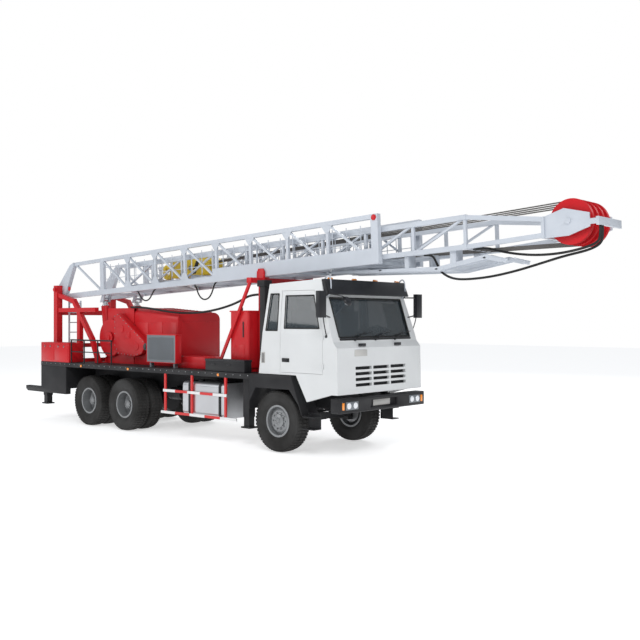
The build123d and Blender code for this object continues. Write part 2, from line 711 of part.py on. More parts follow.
def make_battery_box():
    outer_y = 30 - deck_half
    return block(-1920, -810, outer_y, outer_y + 190, deck_top_z, 1620)


def make_handrail():
    y = -side_row_y
    z1 = 1920.0
    pieces = [rod((-6700, y, z1), (-5070, y, z1), 17), rod((-6700, y, 1650), (-5070, y, 1650), 12)]
    for x in (-6683, -6150, -5610, -5087):
        pieces.append(rod((x, y, deck_top_z), (x, y, z1), 16))
    return pair(fuse(pieces))


def ram_frame(shape):
    # from upright at the foot pin, with z along the cylinder, to its place with the mast lying
    ex, _, ez = at(ram_eye_a, 0, ram_eye_n)
    lean = degrees(atan2(ex - ram_foot_x, ez - ram_foot_z))
    return Pos(ram_foot_x, 0, ram_foot_z) * Rot(0, lean, 0) * shape


def ram_length():
    ex, _, ez = at(ram_eye_a, 0, ram_eye_n)
    return hypot(ex - ram_foot_x, ez - ram_foot_z)


def make_ram(stage):
    length = ram_length()
    y = ram_y
    barrel_top = length - 150
    radii = (100.0, 78.0, 58.0)
    bore = bearing_gap
    if stage == 0:
        body = rod((0, y, 60), (0, y, barrel_top), radii[0])
        eye = disc(0, 0, 60, y - 58, y + 58)
        link = block(-50, 50, y - 55, y + 55, 0, 70)
        shape = fuse([body, eye, link]) - disc(0, 0, ram_pin_radius + bearing_gap, y - 70, y + 70)
        shape = shape - rod((0, y, 90), (0, y, barrel_top + 10), radii[1] + bore)
    if stage == 1:
        shape = rod((0, y, 110), (0, y, barrel_top + 30), radii[1])
        shape = shape - rod((0, y, 130), (0, y, barrel_top + 40), radii[2] + bore)
    if stage == 2:
        body = rod((0, y, 150), (0, y, length - 50), radii[2])
        eye = disc(0, length, 60, y - 50, y + 50)
        shape = fuse([body, eye]) - disc(0, length, ram_pin_radius + bearing_gap, y - 70, y + 70)
    return pair(ram_frame(shape))


def build():
    save("chassis_frame", make_chassis())
    save("deck", make_deck())
    save("front_axle", make_front_axle())
    save("rear_axles", make_rear_axles())
    save("engine_block", make_engine())
    for name, side in (("r", -1), ("l", 1)):
        save("knuckle_" + name, make_knuckle(side))
        save("tyre_front_" + name, spun(tyre(front_track_y), 0, side))
        save("rim_front_" + name, make_front_rim(0, side))
        for row, x in (("mid", mid_axle_x), ("rear", rear_axle_x)):
            twins = [spun(tyre(y), x, side) for y in (inner_twin_y, outer_twin_y)]
            save("tyres_" + row + "_" + name, twins)
            save("rims_" + row + "_" + name, make_twin_rim(x, side))
        save("door_" + name, make_door(side))
        save("door_glass_" + name, make_door_glass(side))
        for row, x in (("rear", tail_x - jack_size / 2), ("front", -900.0)):
            save("jack_leg_" + row + "_" + name, make_jack_leg(x, side))
    save("cab_shell", make_cab())
    save("cab_glass", make_cab_glass())
    save("cab_interior", make_interior())
    save("bumper", make_bumper())
    save("mirrors", make_mirrors())
    save("fenders", make_fenders())
    save("snorkel", make_snorkel())
    save("fuel_tank", make_fuel_tank())
    save("side_guards", make_side_guards())
    save("tool_boxes", make_tool_boxes())
    save("tail_frame", make_tail())
    save("jack_housings", make_jack_housings())
    save("mast_base", make_mast_base())
    save("front_support", make_front_support())
    save("hood", make_hood())
    save("drawworks_frame", make_drawworks())
    save("drawworks_guards", make_guards())
    save("oil_cooler", make_cooler())
    save("hydraulic_tank", make_hydraulic_tank())
    save("battery_box", make_battery_box())
    save("handrails", make_handrail())
    save("mast_lower", make_mast_lower())
    save("mast_upper", make_mast_upper())
    save("crown_frame", make_crown())
    save("crown_sheaves", make_sheaves())
    save("hook_block", make_hook_block())
    for stage, name in enumerate(("ram_barrels", "ram_stage_1", "ram_rods")):
        save(name, make_ram(stage))


build()
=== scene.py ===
import bmesh
import bpy
from math import cos, pi, radians, sin, sqrt
from mathutils import Matrix, Vector
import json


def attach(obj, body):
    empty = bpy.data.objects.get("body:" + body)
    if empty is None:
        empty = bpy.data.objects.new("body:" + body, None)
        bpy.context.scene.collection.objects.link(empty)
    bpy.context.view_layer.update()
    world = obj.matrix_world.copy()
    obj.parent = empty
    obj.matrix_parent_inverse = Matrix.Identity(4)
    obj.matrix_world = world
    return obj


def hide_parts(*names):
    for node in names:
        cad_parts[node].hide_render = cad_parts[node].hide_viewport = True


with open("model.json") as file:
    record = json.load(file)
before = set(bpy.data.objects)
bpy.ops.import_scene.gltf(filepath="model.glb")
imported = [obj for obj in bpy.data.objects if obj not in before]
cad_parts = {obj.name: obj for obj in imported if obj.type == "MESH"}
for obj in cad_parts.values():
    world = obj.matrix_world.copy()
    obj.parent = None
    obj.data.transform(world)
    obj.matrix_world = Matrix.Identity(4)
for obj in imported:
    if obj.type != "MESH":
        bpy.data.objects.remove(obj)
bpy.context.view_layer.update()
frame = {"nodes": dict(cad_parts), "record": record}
nodes = frame["nodes"]
collection = bpy.context.scene.collection

# Places are in metres: x ahead of the front axle, y to the left, z above the floor
shiftX = 1.475
wheelRadius = 0.562
axleZ = wheelRadius
midAxleX = -4.6
rearAxleX = -5.95
frontTrackY = 1.01
twinMiddleY = 0.887
twinStep = 0.35
halfWidth = 1.22
deckTopZ = 1.39
deckRearX = -7.94
cabHalf = 1.2
screenFootX = 1.385
screenFootZ = 2.0
browX = 1.12
browZ = 2.8
screenHalf = 1.01
bumperFrontX = 1.55
sealY = 1.1985
waistZ = 2.15
sideLean = 0.0753
headlampZ = 0.925
rearLampZ = 1.16
edgeLampZ = 1.335
edgeBoltZ = 1.355
hoodHalf = 0.59
hands = (("r", -1), ("l", 1))

# The mast's own frame: a runs along it from the pivot and n stands off it
pivotX = -7.92
pivotZ = 3.12
mastPitch = 2.6
mastLength = 9.85
firstPostA = 1.69
lowerBays = 8
latticeStep = (mastLength - 0.15 - firstPostA) / lowerBays
crownAxisA = 13.15
crownAxisN = 0.104
sheaveRadius = 0.34
sheaveStep = 0.18
sheavePlaces = [(i - 1.5) * sheaveStep for i in range(4)]


def place(x, y, z):
    return Vector((x + shiftX, y, z))


def onMast(a, y, n):
    p = radians(mastPitch)
    return place(pivotX + a * cos(p) - n * sin(p), y, pivotZ + a * sin(p) + n * cos(p))


# Camera, where the photograph was taken from
camera = bpy.data.objects.new("camera", bpy.data.cameras.new("camera"))
camera.data.sensor_width = 36.0
camera.data.lens = 48.1
camera.data.clip_end = 200.0
camera.location = place(10.85, -12.04, 2.38)
camera.rotation_euler = Vector((-0.669, 0.743, 0.0)).to_track_quat("-Z", "Y").to_euler()
collection.objects.link(camera)
bpy.context.scene.camera = camera
print("camera placed")


# Materials
stainScale = 1.7
dustTone = 0.10
grainDepth = 0.002


def newMaterial(name):
    material = bpy.data.materials.new(name)
    material.use_nodes = True
    return material, material.node_tree.nodes["Principled BSDF"]


def mixedColour(tree, shader, coords, low, high, scale):
    noise = tree.nodes.new("ShaderNodeTexNoise")
    noise.inputs["Scale"].default_value = scale
    noise.inputs["Detail"].default_value = 4.0
    tree.links.new(coords.outputs["Object"], noise.inputs["Vector"])
    ramp = tree.nodes.new("ShaderNodeValToRGB")
    ramp.color_ramp.elements[0].position = 0.35
    ramp.color_ramp.elements[1].position = 0.68
    ramp.color_ramp.elements[0].color = (*low, 1.0)
    ramp.color_ramp.elements[1].color = (*high, 1.0)
    tree.links.new(noise.outputs["Fac"], ramp.inputs["Fac"])
    tree.links.new(ramp.outputs["Color"], shader.inputs["Base Color"])


def fineBump(tree, shader, coords, scale, strength):
    grain = tree.nodes.new("ShaderNodeTexNoise")
    grain.inputs["Scale"].default_value = scale
    grain.inputs["Detail"].default_value = 3.0
    bump = tree.nodes.new("ShaderNodeBump")
    bump.inputs["Strength"].default_value = strength
    bump.inputs["Distance"].default_value = grainDepth
    tree.links.new(coords.outputs["Object"], grain.inputs["Vector"])
    tree.links.new(grain.outputs["Fac"], bump.inputs["Height"])
    tree.links.new(bump.outputs["Normal"], shader.inputs["Normal"])


def paint(name, colour, rough=0.35, metal=0.0, dirt=0.12, coat=0.2, grain=90.0, bump=0.05, shine=0.4):
    material, shader = newMaterial(name)
    tree = material.node_tree
    coords = tree.nodes.new("ShaderNodeTexCoord")
    worn = tuple(c * (1 - dirt) + dustTone * dirt for c in colour)
    mixedColour(tree, shader, coords, worn, colour, stainScale)
    fineBump(tree, shader, coords, grain, bump)
    shader.inputs["Roughness"].default_value = rough
    shader.inputs["Metallic"].default_value = metal
    shader.inputs["Coat Weight"].default_value = coat
    shader.inputs["Coat Roughness"].default_value = 0.15
    shader.inputs["Specular IOR Level"].default_value = shine
    return material


def glass(name, colour, alpha=0.45):
    material, shader = newMaterial(name)
    shader.inputs["Base Color"].default_value = (*colour, 1.0)
    shader.inputs["Roughness"].default_value = 0.04
    shader.inputs["Alpha"].default_value = alpha
    shader.inputs["IOR"].default_value = 1.5
    shader.inputs["Coat Weight"].default_value = 1.0
    return material


def glow(name, colour):
    material, shader = newMaterial(name)
    shader.inputs["Base Color"].default_value = (*colour, 1.0)
    shader.inputs["Roughness"].default_value = 0.25
    shader.inputs["Coat Weight"].default_value = 1.0
    shader.inputs["Emission Color"].default_value = (*colour, 1.0)
    shader.inputs["Emission Strength"].default_value = 0.08
    return material


cabWhite = paint("cab white", (0.70, 0.715, 0.72), 0.30, dirt=0.06)
rigRed = paint("rig red", (0.58, 0.010, 0.016), 0.36, dirt=0.08, coat=0.08, shine=0.25)
frameBlack = paint("frame black", (0.014, 0.014, 0.016), 0.45, dirt=0.12, coat=0.03, shine=0.22)
deckBlack = paint("deck black", (0.020, 0.020, 0.022), 0.55, dirt=0.22, coat=0.0, shine=0.2)
mastWhite = paint("mast white", (0.56, 0.60, 0.66), 0.38, dirt=0.10)
blockYellow = paint("block yellow", (0.80, 0.56, 0.02), 0.38, dirt=0.12)
coolerGrey = paint("cooler grey", (0.20, 0.22, 0.24), 0.45, metal=0.4, dirt=0.2)
rimGrey = paint("rim grey", (0.30, 0.31, 0.32), 0.45, metal=0.4, dirt=0.4)
tankSilver = paint("tank silver", (0.58, 0.59, 0.61), 0.30, metal=0.85, dirt=0.15)
rodChrome = paint("rod chrome", (0.80, 0.81, 0.83), 0.12, metal=1.0, dirt=0.02, coat=0.0, bump=0.01)
stripeWhite = paint("stripe white", (0.80, 0.80, 0.80), 0.35, dirt=0.05)
stripeRed = paint("stripe red", (0.66, 0.02, 0.02), 0.35, dirt=0.05)
engineCast = paint("engine cast", (0.07, 0.075, 0.08), 0.6, metal=0.5, dirt=0.4, coat=0.0)
trimGrey = paint("trim grey", (0.045, 0.045, 0.05), 0.7, dirt=0.2, coat=0.0, bump=0.15)
plasticBlack = paint("plastic black", (0.014, 0.015, 0.018), 0.38, dirt=0.1, coat=0.03, shine=0.3)
rubberBlack = paint("rubber black", (0.014, 0.014, 0.014), 0.7, dirt=0.2, coat=0.0, bump=0.2, shine=0.25)
tyreBlack = paint("tyre black", (0.020, 0.019, 0.018), 0.85, dirt=0.40, coat=0.0, bump=0.25, shine=0.2)
boltSteel = paint("bolt steel", (0.40, 0.41, 0.42), 0.35, metal=0.9, dirt=0.3, coat=0.0)
ropeSteel = paint("rope steel", (0.16, 0.15, 0.14), 0.55, metal=0.6, dirt=0.5, coat=0.0, bump=0.3)
curtainCloth = paint("curtain cloth", (0.42, 0.38, 0.30), 0.9, dirt=0.2, coat=0.0, grain=400.0, bump=0.3)
plateGrey = paint("plate grey", (0.55, 0.54, 0.52), 0.4, dirt=0.2)
mirrorFace = paint("mirror face", (0.75, 0.77, 0.80), 0.03, metal=1.0, dirt=0.0, coat=0.0, bump=0.0)
cabGlass = glass("cab glass", (0.035, 0.050, 0.060), 0.62)
lampClear = glow("lamp clear", (0.75, 0.77, 0.80))
lampRed = glow("lamp red", (0.60, 0.02, 0.02))
lampAmber = glow("lamp amber", (0.90, 0.28, 0.02))

slotMaterials = {
    "cab_white": cabWhite, "rig_red": rigRed, "frame_black": frameBlack, "mast_white": mastWhite,
    "block_yellow": blockYellow, "cooler_grey": coolerGrey, "rim_grey": rimGrey, "tank_silver": tankSilver,
    "rod_chrome": rodChrome, "guard_stripe": stripeRed, "engine_cast": engineCast, "cab_trim": trimGrey,
    "mirror_black": plasticBlack, "tyre_rubber": tyreBlack, "clear_glass": cabGlass,
}
for entry in frame["record"]["subparts"]:
    data = nodes[entry["node"]].data
    data.materials.clear()
    data.materials.append(slotMaterials[entry["material_slot"]])
nodes["deck"].data.materials[0] = deckBlack
print("materials set")


# Shapes, made in metres from the axle and moved into the frame when they become a piece
bevelAngle = 40
sharpAngle = 35.0
weldGap = 0.00002


def outlinePrism(work, outline, axis, low, high):
    order = {"x": (2, 0, 1), "y": (0, 2, 1), "z": (0, 1, 2)}[axis]
    rings = []
    for depth in (low, high):
        ring = []
        for first, second in outline:
            values = (first, second, depth)
            ring.append(work.verts.new((values[order[0]], values[order[1]], values[order[2]])))
        rings.append(ring)
    work.faces.new(rings[0])
    work.faces.new(list(reversed(rings[1])))
    count = len(outline)
    for i in range(count):
        j = (i + 1) % count
        work.faces.new((rings[0][i], rings[1][i], rings[1][j], rings[0][j]))


def addBox(work, x0, x1, y0, y1, z0, z1):
    outlinePrism(work, [(x0, z0), (x1, z0), (x1, z1), (x0, z1)], "y", y0, y1)


def sideBox(work, x0, x1, side, near, far, z0, z1):
    # a box between two distances from the middle, on the left for 1 and on the right for -1
    y0, y1 = sorted((side * near, side * far))
    addBox(work, x0, x1, y0, y1, z0, z1)


def addRod(work, start, end, radius, count=12, endRadius=None):
    a, b = Vector(start), Vector(end)
    along = (b - a).normalized()
    side = along.orthogonal().normalized()
    other = along.cross(side)
    rings = []
    for middle, r in ((a, radius), (b, radius if endRadius is None else endRadius)):
        turns = [2 * pi * i / count for i in range(count)]
        rings.append([work.verts.new(middle + side * r * cos(t) + other * r * sin(t)) for t in turns])
    work.faces.new(list(reversed(rings[0])))
    work.faces.new(rings[1])
    for i in range(count):
        j = (i + 1) % count
        work.faces.new((rings[0][i], rings[0][j], rings[1][j], rings[1][i]))


def addLathe(work, profile, middle, count=48):
    # profile holds (radius, y); the ring turns about the y axis through the middle
    rings = []
    for i in range(count):
        t = 2 * pi * i / count
        rings.append([work.verts.new((middle[0] + r * cos(t), middle[1] + y, middle[2] + r * sin(t)))
                      for r, y in profile])
    span = len(profile)
    for i in range(count):
        here, following = rings[i], rings[(i + 1) % count]
        for k in range(span):
            m = (k + 1) % span
            work.faces.new((here[k], here[m], following[m], following[k]))


def tubeCurve(name, points, radius, roundness, steps):
    curve = bpy.data.curves.new(name, "CURVE")
    curve.dimensions = "3D"
    curve.bevel_depth = radius
    curve.bevel_resolution = roundness
    curve.use_fill_caps = True
    spline = curve.splines.new("NURBS")
    spline.points.add(len(points) - 1)
    for point, spot in zip(spline.points, points):
        point.co = (*spot, 1.0)
    spline.order_u = 3
    spline.use_endpoint_u = True
    spline.resolution_u = steps
    return curve


def bake(holder):
    # the holder's mesh as its modifiers leave it; the holder goes
    mesh = bpy.data.meshes.new_from_object(holder.evaluated_get(bpy.context.evaluated_depsgraph_get()))
    bpy.data.objects.remove(holder)
    return mesh


def flowing(points, radius, work):
    # a bent tube through points, its corners rounded by a curve
    holder = bpy.data.objects.new("tube", tubeCurve("tube", points, radius, 3, 10))
    collection.objects.link(holder)
    work.from_mesh(bake(holder))


def toMesh(work, name):
    bmesh.ops.remove_doubles(work, verts=work.verts, dist=weldGap)
    bmesh.ops.recalc_face_normals(work, faces=work.faces)
    mesh = bpy.data.meshes.new(name)
    work.to_mesh(mesh)
    work.free()
    return mesh


def bevelled(mesh, width, segments=2):
    holder = bpy.data.objects.new("holder", mesh)
    collection.objects.link(holder)
    modifier = holder.modifiers.new("bevel", "BEVEL")
    modifier.width = width
    modifier.segments = segments
    modifier.limit_method = "ANGLE"
    modifier.angle_limit = radians(bevelAngle)
    return bake(holder)


def makeRepeat():
    # copies a form a number of times, each one stepped along and turned about the origin
    tree = bpy.data.node_groups.new("repeat", "GeometryNodeTree")
    face = tree.interface
    face.new_socket("Geometry", in_out="INPUT", socket_type="NodeSocketGeometry")
    face.new_socket("Count", in_out="INPUT", socket_type="NodeSocketInt")
    face.new_socket("Step", in_out="INPUT", socket_type="NodeSocketVector")
    face.new_socket("Turn", in_out="INPUT", socket_type="NodeSocketVector")
    face.new_socket("Material", in_out="INPUT", socket_type="NodeSocketMaterial")
    face.new_socket("Geometry", in_out="OUTPUT", socket_type="NodeSocketGeometry")
    entry = tree.nodes.new("NodeGroupInput")
    line = tree.nodes.new("GeometryNodeMeshLine")
    line.mode = "OFFSET"
    index = tree.nodes.new("GeometryNodeInputIndex")
    scale = tree.nodes.new("ShaderNodeVectorMath")
    scale.operation = "SCALE"
    instance = tree.nodes.new("GeometryNodeInstanceOnPoints")
    realize = tree.nodes.new("GeometryNodeRealizeInstances")
    coat = tree.nodes.new("GeometryNodeSetMaterial")
    leave = tree.nodes.new("NodeGroupOutput")
    link = tree.links.new
    link(entry.outputs["Count"], line.inputs["Count"])
    link(entry.outputs["Step"], line.inputs["Offset"])
    link(line.outputs["Mesh"], instance.inputs["Points"])
    link(entry.outputs["Geometry"], instance.inputs["Instance"])
    link(entry.outputs["Turn"], scale.inputs[0])
    link(index.outputs["Index"], scale.inputs["Scale"])
    link(scale.outputs["Vector"], instance.inputs["Rotation"])
    link(instance.outputs["Instances"], realize.inputs["Geometry"])
    link(realize.outputs["Geometry"], coat.inputs["Geometry"])
    link(entry.outputs["Material"], coat.inputs["Material"])
    link(coat.outputs["Geometry"], leave.inputs["Geometry"])
    return tree


repeatTree = makeRepeat()
repeatItems = repeatTree.interface.items_tree
sockets = {item.name: item.identifier for item in repeatItems if item.in_out == "INPUT"}


def repeated(mesh, count, step, material, turn=(0, 0, 0)):
    holder = bpy.data.objects.new("holder", mesh)
    collection.objects.link(holder)
    modifier = holder.modifiers.new("repeat", "NODES")
    modifier.node_group = repeatTree
    modifier[sockets["Count"]] = count
    modifier[sockets["Step"]] = step
    modifier[sockets["Turn"]] = turn
    modifier[sockets["Material"]] = material
    return bake(holder)


def addMesh(work, mesh, offset=(0, 0, 0), flip=False):
    copy = mesh.copy()
    matrix = Matrix.Translation(Vector(offset))
    if flip:
        matrix = matrix @ Matrix.Scale(-1, 4, (0, 1, 0))
    copy.transform(matrix)
    if flip:
        copy.flip_normals()
    work.from_mesh(copy)


def pieceFrom(name, mesh, material, body, sharp=sharpAngle):
    piece = bpy.data.objects.new(name, mesh)
    collection.objects.link(piece)
    mesh.materials.clear()
    mesh.materials.append(material)
    for polygon in mesh.polygons:
        polygon.use_smooth = True
        polygon.material_index = 0
    mesh.set_sharp_from_angle(angle=radians(sharp))
    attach(piece, body)
    return piece


def finish(name, work, material, body="carrier", bevel=0.004, lying=False, sharp=sharpAngle):
    # lying forms are drawn in the mast's own frame, with a along x and n along z
    if lying:
        pivot = Matrix.Translation(Vector((pivotX, 0, pivotZ)))
        lean = pivot @ Matrix.Rotation(radians(-mastPitch), 4, "Y")
        bmesh.ops.transform(work, matrix=lean, verts=work.verts)
    bmesh.ops.translate(work, vec=(shiftX, 0, 0), verts=work.verts)
    mesh = toMesh(work, name)
    if bevel:
        mesh = bevelled(mesh, bevel)
    return pieceFrom(name, mesh, material, body, sharp)


def softCopy(nodeName, bevel, body, material=None):
    # a CAD node's form with its corners softened, shown in its stead
    source = nodes[nodeName]
    work = bmesh.new()
    work.from_mesh(source.data)
    bmesh.ops.remove_doubles(work, verts=work.verts, dist=0.00005)
    bmesh.ops.dissolve_limit(work, angle_limit=0.01, verts=work.verts, edges=work.edges)
    mesh = bpy.data.meshes.new(nodeName + "_soft")
    work.to_mesh(mesh)
    work.free()
    shown = material or source.data.materials[0]
    piece = pieceFrom(nodeName + "_finished", bevelled(mesh, bevel), shown, body)
    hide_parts(nodeName)
    return piece


# Hoses that hang free
def hose(name, points, diameter, body):
    curve = tubeCurve(name, points, diameter / 2, 5, 12)
    curve.materials.append(rubberBlack)
    piece = bpy.data.objects.new(name, curve)
    collection.objects.link(piece)
    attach(piece, body)


# the crown's guard, and the under sides of the upper and the lower mast's cross pieces
guardA = 13.593
memberN = -0.13
beamN = -0.205
routeA = [(guardA, 0.0), (guardA, -0.12), (13.56, -0.24), (13.36, -0.30), (13.01, -0.345), (12.64, -0.342),
          (12.29, -0.295), (11.96, -0.215), (11.72, memberN), (11.49, memberN)]
routeB = [(guardA, 0.0), (guardA, -0.13), (13.56, -0.26), (13.36, -0.335), (12.99, -0.38), (12.59, -0.46),
          (12.18, -0.538), (11.72, -0.595), (11.25, -0.60), (11.0, -0.56), (10.80, -0.44), (10.72, -0.27),
          (10.64, memberN), (10.486, memberN)]
routeFront = [(4.719, beamN), (4.85, beamN), (4.93, -0.30), (4.98, -0.43), (5.08, -0.53),
              (5.20, -0.56), (5.33, -0.52), (5.43, -0.40), (5.52, beamN), (5.67, beamN)]
routeRear = [(2.717, beamN), (2.86, beamN), (2.93, -0.27), (3.0, -0.37), (3.1, -0.44),
             (3.2, -0.46), (3.31, -0.43), (3.41, -0.33), (3.52, beamN), (3.668, beamN)]
routeLink = [(-5.13, 2.665), (-4.83, 2.665), (-4.44, 2.635), (-4.04, 2.585), (-3.62, 2.54), (-3.12, 2.52),
             (-2.62, 2.54), (-2.17, 2.6), (-1.8, 2.675), (-1.5, 2.765), (-1.24, 2.87), (-0.96, 2.87)]
hose("crown_hose_upper", [onMast(a, -0.3, n) for a, n in routeA], 0.038, "mast_upper")
hose("crown_hose_long", [onMast(a, -0.22, n) for a, n in routeB], 0.038, "mast_upper")
loopY = -0.52
hose("loop_hose_front", [onMast(a, loopY, n) for a, n in routeFront], 0.03, "mast_lower")
hose("loop_hose_rear", [onMast(a, loopY, n) for a, n in routeRear], 0.03, "mast_lower")
hose("link_hose", [place(x, -0.62, z) for x, z in routeLink], 0.045, "carrier")
print("hoses laid")

# Softened copies of plain forms
softNodes = [
    ("bumper", 0.018, "frame_black"), ("tool_boxes", 0.012, "rig_red"),
    ("battery_box", 0.012, "frame_black"), ("hood", 0.01, "rig_red"),
    ("hydraulic_tank", 0.012, "rig_red"), ("tail_frame", 0.010, "frame_black"),
    ("snorkel", 0.01, "frame_black"), ("mirrors", 0.02, "mirror_black"),
    ("front_support", 0.006, "rig_red"), ("fenders", 0.008, "frame_black"),
    ("cab_interior", 0.02, "cab_trim"), ("drawworks_guards", 0.010, "rig_red"),
]
for nodeName, bevel, slot in softNodes:
    softCopy(nodeName, bevel, "carrier")
softCopy("hook_block", 0.012, "mast_upper")
softCopy("crown_frame", 0.004, "mast_upper", material=mastWhite)
print("softened pieces made")


# Tyres with lugs on both shoulders and a third row in the middle
lugCount = 54
lugFoot = 0.53
lugTop = 0.5605
shoulderY = 0.13
shoulderDrop = 0.016
tyreSteps = 96


def tyreForm():
    work = bmesh.new()
    halfProfile = [(0.290, -0.108), (0.300, -0.116), (0.335, -0.140), (0.40, -0.155), (0.46, -0.157),
                   (0.515, -0.149), (0.538, -0.128), (0.546, -0.100), (0.548, 0.0)]
    profile = halfProfile + [(r, -y) for r, y in reversed(halfProfile[:-1])]
    profile += [(0.268, 0.108), (0.268, -0.108)]
    addLathe(work, profile, (0, 0, 0), tyreSteps)
    for radius, y in ((0.345, 0.1435), (0.47, 0.1565)):
        for side in (-1, 1):
            ring = [(radius - 0.004, side * y - 0.001), (radius, side * (y + 0.003)),
                    (radius + 0.004, side * y - 0.001)]
            addLathe(work, ring, (0, 0, 0), tyreSteps)
    lugs = []
    for y0, y1, lean in ((-0.146, -0.062, 0.010), (0.062, 0.146, -0.010), (-0.045, 0.045, 0.0)):
        lug = bmesh.new()
        outline = [(-0.022 + lean, y0), (0.022 + lean, y0), (0.022 - lean, y1), (-0.022 - lean, y1)]
        outlinePrism(lug, outline, "z", lugFoot, lugTop)
        for v in lug.verts:
            if v.co.z > lugFoot + 0.02 and abs(v.co.y) > shoulderY:
                v.co.z -= shoulderDrop
        mesh = bevelled(toMesh(lug, "lug"), 0.003, 1)
        lugs.append(repeated(mesh, lugCount, (0, 0, 0), tyreBlack, (0, 2 * pi / lugCount, 0)))
    treaded = bmesh.new()
    treaded.from_mesh(toMesh(work, "tyre"))
    for mesh in lugs:
        treaded.from_mesh(mesh)
    mesh = bpy.data.meshes.new("tyre form")
    treaded.to_mesh(mesh)
    treaded.free()
    return mesh


tyreMesh = tyreForm()
twinPlaces = (twinMiddleY - twinStep / 2, twinMiddleY + twinStep / 2)
tyreRows = (("tyre_front_", "front_wheel_", 0.0, (frontTrackY,)),
            ("tyres_mid_", "mid_wheels_", midAxleX, twinPlaces),
            ("tyres_rear_", "rear_wheels_", rearAxleX, twinPlaces))
for name, side in hands:
    for node, body, x, distances in tyreRows:
        work = bmesh.new()
        for y in distances:
            addMesh(work, tyreMesh, (x + shiftX, side * y, axleZ))
        mesh = bpy.data.meshes.new(node + name)
        work.to_mesh(mesh)
        work.free()
        piece = pieceFrom(node + name + "_treaded", mesh, tyreBlack, body + name, 30.0)
        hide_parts(node + name)


# Wheel nuts and the bolts of the hub caps
def hexNut(radius, low, high):
    work = bmesh.new()
    outline = [(radius * cos(pi * i / 3), radius * sin(pi * i / 3)) for i in range(6)]
    outlinePrism(work, outline, "z", low, high)
    return work


def faceLeft(work):
    # turns what points up so that it points to the left
    bmesh.ops.rotate(work, cent=(0, 0, 0), matrix=Matrix.Rotation(radians(-90), 3, "X"), verts=work.verts)


def wheelDetail(count, ring, nutLow, nutHigh):
    work = hexNut(0.0165, nutLow, nutHigh)
    addRod(work, (0, 0, nutHigh - 0.001), (0, 0, nutHigh + 0.014), 0.009, 10)
    faceLeft(work)
    bmesh.ops.translate(work, vec=(ring, 0, 0), verts=work.verts)
    nut = bevelled(toMesh(work, "nut"), 0.002, 1)
    return repeated(nut, count, (0, 0, 0), boltSteel, (0, 2 * pi / count, 0))


# the distance of the wheel nuts from the middle, their ring's radius, and the same of the cap's bolts
frontHub = (frontTrackY + 0.076, 0.148, frontTrackY + 0.118, 0.05)
twinHub = (twinMiddleY + 0.013, 0.152, twinMiddleY + 0.205, 0.07)
hubs = (("front", "front_wheel_", 0.0, frontHub), ("mid", "mid_wheels_", midAxleX, twinHub),
        ("rear", "rear_wheels_", rearAxleX, twinHub))
for name, side in hands:
    for kind, body, x, (plateY, ring, capY, capRing) in hubs:
        work = bmesh.new()
        nuts = wheelDetail(10, ring, plateY - 0.002, plateY + 0.026)
        addMesh(work, nuts, (x, 0, axleZ), side < 0)
        bolts = wheelDetail(8, capRing, capY - 0.004, capY + 0.008)
        addMesh(work, bolts, (x, 0, axleZ), side < 0)
        finish("nuts_" + kind + "_" + name, work, boltSteel, body + name, 0, sharp=30.0)
print("wheels dressed")

# Cab: window seals, door handles, wipers, grille and blank plates
slope = Vector((browX - screenFootX, 0, browZ - screenFootZ)).normalized()
outward = Vector((slope.z, 0, -slope.x))


def onScreen(height, y, off=0.0):
    # a point of the sloped screen, height measured straight up from its foot
    share = height / (browZ - screenFootZ)
    base = Vector((screenFootX + (browX - screenFootX) * share, y, screenFootZ + height))
    return base + outward * off


def onSide(x, z, side):
    # a point of the cab's side, which leans in above the waist
    return x, side * (sealY - max(0.0, z - waistZ) * sideLean), z


def sealSide(work, outline, side, radius):
    for near, after in zip(outline, outline[1:] + outline[:1]):
        addRod(work, onSide(*near, side), onSide(*after, side), radius, 8)


sealLow, sealHigh = 0.08, 0.76
quarterGlass = [(-0.235, 2.19), (0.06, 2.19), (0.06, 2.85), (-0.150, 2.85)]
doorGlass = [(0.23, 2.23), (1.065, 2.23), (0.905, 2.81), (0.23, 2.81)]
work = bmesh.new()
corners = [(sealLow, -screenHalf), (sealLow, screenHalf), (sealHigh, screenHalf), (sealHigh, -screenHalf)]
for near, after in zip(corners, corners[1:] + corners[:1]):
    addRod(work, onScreen(*near, -0.004), onScreen(*after, -0.004), 0.016, 10)
for side in (-1, 1):
    sealSide(work, quarterGlass, side, 0.010)
finish("window_seals", work, rubberBlack, bevel=0)

for name, side in hands:
    work = bmesh.new()
    sealSide(work, doorGlass, side, 0.009)
    finish("door_seal_" + name, work, rubberBlack, "door_" + name, 0)
    work = bmesh.new()
    sideBox(work, 0.18, 0.36, side, 1.199, 1.206, 1.635, 1.705)
    sideBox(work, 0.20, 0.34, side, 1.205, 1.228, 1.665, 1.69)
    addRod(work, (0.325, side * 1.204, 1.652), (0.325, side * 1.212, 1.652), 0.011, 12)
    finish("door_handle_" + name, work, plasticBlack, "door_" + name, 0.003)

bladeLength = 0.52
work = bmesh.new()
for y in (-0.62, -0.05, 0.52):
    foot = onScreen(0.03, y, 0.02)
    tip = onScreen(0.16, y + 0.30, 0.022)
    flowing([foot, onScreen(0.07, y + 0.12, 0.03), tip], 0.008, work)
    addRod(work, onScreen(0.10, y + 0.02, 0.014), onScreen(0.17, y + 0.02 + bladeLength, 0.014), 0.007, 8)
    addRod(work, foot - outward * 0.03, foot + outward * 0.012, 0.017, 12)
addRod(work, onScreen(0.045, -screenHalf, 0.0), onScreen(0.045, screenHalf, 0.0), 0.020, 10)
for y in (-0.52, 0.50):
    addBox(work, 1.452, 1.476, y - 0.09, y + 0.09, 1.925, 1.975)
finish("wipers", work, plasticBlack, bevel=0.0015)

